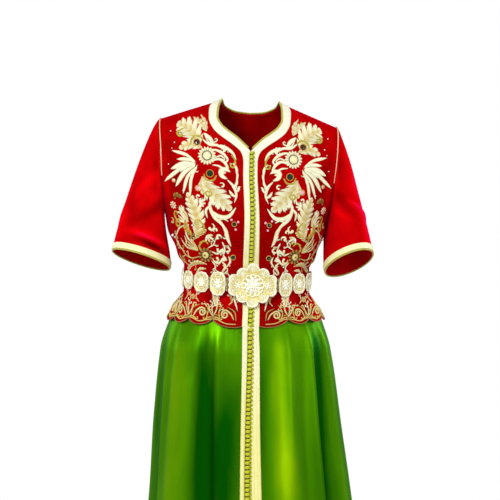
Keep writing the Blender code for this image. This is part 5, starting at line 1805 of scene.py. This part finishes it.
def sunflower(pile, x, z, inner, outer, petals, width, tone, heart):
    """Two rings of petals round a raised heart of seeds."""
    flower(pile, x, z, petals, inner * 1.12, outer, width, 1.7, 0.0, 0.2, tone)
    flower(pile, x, z, petals, inner * 1.16, outer * 0.84, width * 0.8, 1.4, 0.5,
           0.2 + pi / petals, tone - 0.25)
    # a painted shadow round the heart
    pile.add(dome(x, z, inner * 1.34, 1.2, 0.3, 18, 2), SHADOW_TONE)
    for place in circle(x, z, inner * 0.90, petals):
        pile.add(dome(*place, inner * 0.12, 1.0, 1.2, 6, 2), tone)
    pile.add(dome(x, z, inner * 0.84, 2.4, 0.4, 18, 4), heart)
    for ring, count in ((0.72, 12), (0.40, 7)):
        for place in circle(x, z, inner * ring, count):
            lift = 2.2 * (1 - ring**2) ** 0.5 - 0.2
            pile.add(dome(*place, inner * 0.15, 0.9, lift, 6, 2), heart + 0.15)


def stone(piles, x, z, radius, kind, lift=0.0, set_in=True):
    """A cut glass stone, in a ring of thread."""
    turn = radians(22.5 + 40 * x)
    piles["stones"].add(dome(x, z, radius, radius * 0.62, lift + 0.3, 8, 2, turn), kind)
    if set_in:
        ring = circle(x, z, radius + 0.5, max(10, int(radius * 4)))
        piles["silk"].add(band(ring, 0.75, 1.4, lift, 5, closed=True), 0.50)

# %% The drawing of a front: leaves, as points from base to tip, half width, lobes, tone
LEAVES = (
    (((108, -102), (116, -84), (132, -66), (155, -54)), 29, 6, 1.05),
    (((102, -104), (126, -99), (152, -108)), 14, 4, 1),
    (((92, -70), (104, -52), (121, -39)), 7.5, 5, 1), (((92, -70), (95, -50), (105, -33)), 5, 4, 0.95),
    (((102, -165), (88, -188), (66, -210), (43, -233)), 25, 6, 1.05),
    (((104, -172), (104, -190), (94, -206)), 8, 4, 0.95),
    (((119, -290), (116, -264), (123, -234), (136, -200)), 22, 7, 0.98),
    (((122, -296), (112, -284), (96, -276)), 9, 5, 0.8),
    (((128, -290), (142, -274), (146, -254)), 8, 5, 0.6),
    (((148, -212), (164, -206), (170, -216)), 6, 4, 0.3),
    (((146, -366), (134, -353), (116, -347), (96, -351)), 6, 8, 0.85),
    (((122, -369), (112, -361), (98, -360)), 4, 4, 0.95),
)
# strokes: points, half width, tone, and the radius and turns of a curl
STROKES = (
    (((98, -74), (85, -85), (77, -100)), 4.9, 1),
    (((102, -86), (87, -97), (71, -98), (58, -104)), 3.2, 1, 5.5, 0.9),
    (((64, -97), (49, -104), (37, -114), (30, -127)), 3.7, 1),
    (((86, -108), (71, -109), (57, -116), (49, -125)), 3.2, 1, 5.5, 0.9),
    (((80, -131), (66, -127), (54, -134), (48, -144)), 3.5, 1, 5.5, 0.9),
    (((66, -150), (54, -147), (42, -153)), 4.1, 0.95),
    (((66, -152), (60, -162), (48, -168)), 4.6, 0.95), (((31, -147), (27, -160), (30, -176)), 2.7, 1),
    (((48, -170), (37, -182), (31, -200), (36, -217)), 3.2, 1),
    (((36, -184), (30, -178), (27, -167)), 3.2, 0.95),
    (((33, -194), (27, -191), (23, -184)), 2.7, 0.95), (((32, -205), (40, -200), (46, -191)), 3.3, 0.9),
    (((79, -207), (88, -224), (80, -247), (63, -263), (49, -283)), 4.4, 0.92),
    (((85, -236), (68, -247), (49, -246), (33, -227)), 4.9, 0.92),
    (((63, -263), (55, -276), (50, -294), (43, -309)), 4.6, 0.9),
    (((72, -256), (60, -251), (49, -257)), 2.8, 0.8), (((86, -224), (97, -236), (94, -252)), 3.2, 0.9),
    (((138, -262), (151, -247), (171, -241)), 3.2, 0.72),
    (((138, -262), (145, -243), (164, -233)), 2.6, 0.62),
    (((137, -266), (143, -285), (136, -300)), 2.6, 0.9, 4.5, -0.8),
    (((152, -254), (166, -258)), 3.1, 0.32, 8, -1.1),
    (((118, -311), (133, -318), (149, -312), (161, -296)), 2.2, 0.7),
    (((148, -312), (145, -301), (149, -290)), 2.4, 0.6),
    (((62, -342), (54, -352), (60, -364)), 2.9, 0.8, 4, -0.8),
    (((158, -350), (168, -344), (176, -330)), 2.8, 0.4),
    (((96, -80), (86, -94), (72, -90)), 2, 1, 4, -0.9),
    (((74, -108), (60, -112), (50, -106)), 2, 1, 4.2, 0.9),
    (((80, -140), (66, -142), (54, -150)), 2.4, 1, 4, -0.9),
    (((76, -126), (64, -120), (56, -124)), 2, 1, 3.6, 0.9),
    (((36, -134), (29, -146), (27, -158)), 3, 1),
    (((150, -262), (166, -262), (176, -250)), 2.6, 0.35, 7, 0.9),
    (((146, -268), (162, -276), (172, -288)), 2.4, 0.75, 5, 0.8),
    (((178, -300), (168, -316), (152, -326)), 2.6, 0.8),
    (((104, -300), (112, -312), (106, -322)), 2.6, 0.35, 4, -0.7),
    (((84, -322), (72, -326), (64, -318)), 2.6, 0.95, 4.4, 0.9),
    (((80, -344), (68, -346), (60, -336)), 2.4, 0.95, 4.4, 0.9),
    (((50, -352), (44, -342), (48, -330)), 2.4, 0.95),
)
# fans: base, first and last direction in degrees, count, reach, half width, tone
FANS = (
    (114, -322, 62, 8, 5, 36, 1.7, 0.62), (68, -152, 150, 236, 5, 17, 2.9, 1),
    (30, -190, 40, 130, 3, 14, 2.2, 1), (140, -264, 70, 8, 4, 30, 2.4, 0.82),
    (150, -244, 100, 30, 4, 18, 2, 0.95), (96, -286, 190, 268, 4, 18, 2.6, 0.8),
    (58, -108, 60, 150, 3, 12, 2.2, 1), (112, -222, 120, 200, 4, 16, 2.6, 0.95),
)
# sprigs: points, shoots, reach, half width, tone
SPRIGS = (
    (((112, -334), (132, -338), (152, -330), (172, -310)), 5, 13, 1.5, 0.48),
    (((108, -344), (128, -352), (150, -352), (172, -344)), 5, 12, 1.4, 0.6),
    (((116, -316), (128, -304), (132, -288)), 4, 11, 1.4, 0.42),
    (((84, -342), (76, -354), (80, -370)), 4, 9, 1.5, 0.85),
    (((92, -314), (80, -306), (76, -292)), 4, 9, 1.5, 0.9),
    (((62, -300), (56, -316), (60, -334)), 5, 9, 1.6, 0.95),
    (((168, -282), (178, -296), (176, -314)), 4, 8, 1.4, 0.8),
    (((60, -350), (50, -358), (52, -370)), 3, 8, 1.5, 0.9),
)
# a spray: tip, half width; a shell: direction in degrees, reach
SPRAY_FROM, SHELL_FROM = (110, -137), (70, -212)
SPRAY = (
    ((168, -113), 4), ((157, -131), 4.3), ((171, -152), 6.2), ((150, -158), 2.9), ((187, -179), 4.7),
    ((163, -189), 5.5), ((146, -203), 4.1), ((130, -209), 3.8), ((124, -176), 2.9),
)
SHELL_REACH = ((-160, 13), (-138, 17), (-116, 19), (-94, 19), (-72, 17), (-50, 14))
# couched cords: points, curl radius, turns, half width, lift
CORDS = (
    (((127, -100), (123, -86), (111, -80), (99, -87)), 0, 0, 2.1, 1.7),
    (((142, -66), (152, -71)), 7, -1, 2.2, 1.2), (((100, -60), (107, -49), (111, -39)), 0, 0, 2.1, 0),
    (((41, -117), (33, -127), (32, -138)), 6, 0.9, 2.1, 0),
    (((98, -160), (92, -172), (78, -172), (71, -162)), 0, 0, 2.1, 0.6),
    (((93, -184), (84, -194)), 8, 1.1, 2.2, 1.2),
    (((106, -286), (101, -270), (110, -258)), 7.5, -0.9, 2.2, 1),
    (((92, -306), (100, -300), (112, -304)), 0, 0, 1.9, 0),
)
# hooks: middle, radius, start in degrees, turns, half width, tone
HOOKS = (
    (86, -271, 8.5, 100, 0.62, 2.9, 0.85), (70, -291, 6.5, 200, -0.6, 2.7, 0.85),
    (56, -288, 5.5, -20, -0.6, 2.4, 0.85), (68, -317, 8, 150, 0.6, 2.3, 0.9),
    (50, -318, 6.5, 60, 0.55, 2.2, 0.9), (56, -340, 5, 190, -0.5, 2.2, 0.85),
    (74, -338, 7.5, 20, -0.7, 2.4, 0.8), (186, -262, 7, 60, 0.7, 2.2, 0.6),
    (114, -152, 5, 200, 0.6, 1.9, 0.8), (60, -182, 6, 40, 0.6, 2, 0.9),
    (120, -141, 4.6, 120, -0.7, 1.7, 1), (126, -164, 5, 20, 0.7, 1.7, 0.9),
    (112, -207, 4.8, 260, 0.7, 1.8, 0.95), (138, -146, 3.8, 80, 0.7, 1.4, 1),
    (76, -276, 5, 300, 0.7, 2, 0.85), (100, -212, 4.4, 40, -0.7, 1.7, 0.9),
)
# sunflowers: middle, radius of the heart and of the petals, petals, their half width, two tones
SUNFLOWERS = ((92, -121, 9.2, 19.5, 17, 2.5, 1, 0.74), (98, -330, 8.6, 16.5, 11, 2.8, 0.24, 0.6))
# stones: place, radius, kind, lift; then drops of pink glass and pearls
STONES = (
    (113, -94, 6.5, WINE, 1.8), (85, -158, 7, GREEN), (37, -262, 4.4, BLACK), (38, -333, 4.8, GREEN),
    (166, -176, 3.3, PINK), (112, -190, 5, PINK), (99, -330, 2.2, BLACK, 1.8), (176, -228, 2.6, PINK),
)
PINK_DROPS = (
    (43, -253, 2.7), (29, -257, 2.8), (34, -273, 2.7), (142, -250, 1.7), (136, -246, 1.5),
)
PEARLS = (
    (190, -292, 3), (162, -96, 1.5), (168, -108, 1.2), (170, -72, 1.4), (128, -268, 2), (60, -304, 1.8),
    (48, -302, 1.6), (72, -352, 1.9), (96, -292, 2.2), (146, -196, 1.3), (44, -206, 1.5),
    (176, -142, 1.3), (150, -118, 1.2), (42, -136, 1.4), (108, -216, 1.6),
)


# %% Work one front
def front_drawing():
    """The piles of a front's embroidery."""
    piles = {key: Pile() for key in ("silk", "cord", "stones", "pearls")}
    thread = piles["silk"]
    for leaf in LEAVES:
        acanthus(thread, *leaf)
    for points, width, tone, *curl in STROKES:
        stitched(thread, scroll(points, *curl), width, tone)
    hub = np.array(SPRAY_FROM, float)
    for tip, width in SPRAY:
        way = np.array(tip, float) - hub
        path = bend([hub + way * 0.12, hub + way * 0.5 + left_of(way) * 0.07, tip])
        stitched(thread, path, width, 1.0, 1.6, 0.15, 0.08, 0.62)
    for turn, reach in SHELL_REACH:
        way = toward(radians(turn))
        path = bend([SHELL_FROM + way * 3, SHELL_FROM + way * reach])
        stitched(thread, path, 2.9, 0.95, 1.4, 0.35, 0.5, 0.7)
    for motif, rows in ((little_c, HOOKS), (fan, FANS), (sprig, SPRIGS), (sunflower, SUNFLOWERS)):
        for row in rows:
            motif(thread, *row)
    flower(thread, 176, -228, 8, 3.0, 8.5, 1.9, 1.3, 0.0, 0.1, 0.95)
    for points, radius, turns, width, lift in CORDS:
        line = scroll(points, radius, turns, 0.3, 1.0)
        piles["cord"].add(band(line, width * fullness(len(line), 0.55, 0.6, 0.5), 1.5, lift, 6), 1.0)
    for row in STONES:
        stone(piles, *row)
    for x, z, radius in PINK_DROPS:
        stone(piles, x, z, radius, PINK, 0.0, False)
    for x, z, radius in PEARLS:
        piles["pearls"].add(dome(x, z, radius, radius * 1.5, 0.0, 12, 4), 1.0)
    return piles

# %% The peplum's border: it runs right round the hem
HEM_PARTS = np.linspace(0, 1, 241)


def hem_run(side):
    """Millimetres of cloth and heights along the scalloped hem, from the centre to the side."""
    front = side < 0
    row = section_point(mix(braid_turn(PEPLUM_Z) if front else 0.0, pi / 2, HEM_PARTS), PEPLUM_Z, side)
    run = travelled(row) + (at(PLACKET, PEPLUM_Z)[0] if front else 0)
    return 1000 * run, 1000 * scallop_z(HEM_PARTS, side)


def border_drawing(side):
    """Half of the border of the front or back: a garland above the hem, a spiral in each scallop
    and leaves where the scallops meet."""
    pile, count = Pile(), len(SCALLOPS)
    run, height = hem_run(side)
    stitched(pile, bend(np.stack([run, height + 7], -1)[12::20], 2.0), 1.4, 0.48, 1.1, 0.9, 0.9)
    for k in range(count):
        hand = 1 if k % 2 else -1
        u = np.interp((k + 0.5) / count, HEM_PARTS, run)
        low = np.interp(u, run, height)

        def path(*places):
            return [(u + hand * x, low + z) for x, z in places]

        stitched(pile, scroll(path((15, 15), (9, 26), (1, 32)), 8.6, hand * 1.5), 2.1, 0.60, 1.5, 0.4,
                 0.8, 0.3)
        stitched(pile, bend(path((20, 13), (16, 31), (0, 40))), 1.4, 0.34)
        sprig(pile, path((-13, 12), (-17, 30), (-8, 46)), 3, 10, 1.4, 0.46)
        sprig(pile, path((4, 44), (12, 54), (8, 68)), 3, 9, 1.4, 0.62)
        little_c(pile, u + hand * 20, low + 54, 4.4, 250, -0.65, 1.6, 0.60)
    for k in range(1, count + 1):
        at_side = k == count
        u = np.interp(k / count, HEM_PARTS, run) - 2 * at_side
        for hand in (-1,) if at_side else (-1, 1):
            upper = [(u, -458), (u + 7 * hand, -447), (u + 10 * hand, -436)]
            lower = [(u, -459), (u + 10 * hand, -460), (u + 17 * hand, -464)]
            stitched(pile, scroll(upper, 4.0, -0.9 * hand), 1.8, 0.62)
            stitched(pile, scroll(lower, 3.0, 0.8 * hand), 1.8, 0.45)
        sprig(pile, [(u, -456), (u + 2, -440), (u - 2, -420)], 4, 8, 1.4, 0.70)
    return pile

# %% Lay the embroidery
MATERIALS = {"silk": silk, "cord": couched, "stones": glass, "pearls": pearl_look}
drawing, borders = front_drawing(), {side: border_drawing(side) for side in (-1, 1)}
acanthus(borders[-1], ((84, -400), (77, -416), (74, -438)), 10, 6, 1.0)
stitched(borders[-1], scroll([(34, -402), (35, -420), (29, -446)]), 2.6, 1.0)
for name, hand in HANDS:
    for key, material in MATERIALS.items():
        mesh = drawing[key].mesh(f"embroidery_{key}_{name}", on_cloth(-1, hand), key != "stones")
        put_in_scene(mesh, material)
    for side, place in ((-1, "front"), (1, "back")):
        put_in_scene(borders[side].mesh(f"border_{place}_{name}", on_cloth(side, hand)), silk)

# %% A cord along the scalloped hem
EDGE_CORD, EDGE_PITCH, EDGE_STEP = 0.0011, 0.004, 0.0009
EDGE_RISE, EDGE_LIFT = 0.0008, 0.0006
edge_look = finish_of(
    "maroon_gold_edging", "rose_gold_piping", cord_color((0.10, 0.003, 0.003), (0.62, 0.30, 0.08)),
    0.42, Specular_IOR_Level=0.5,
)
for name, hand in HANDS:
    front, back = (
        lay(x[-1, first:], z[-1, first:] + EDGE_RISE, side, hand, EDGE_LIFT)
        for side, (x, z), first in ((-1, FRONT, STRIP_COLUMNS), (1, BACK, 0))
    )
    path = np.vstack([front, back[-2::-1]])
    cord_piece(f"hem_edging_{name}", path, EDGE_CORD, EDGE_PITCH, edge_look, sides=8, step=EDGE_STEP)

# %% End
size = {"cad_box": CAD_BOX, "visual_box": [list(corner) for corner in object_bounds()]}
print("model box, m:", size["visual_box"])
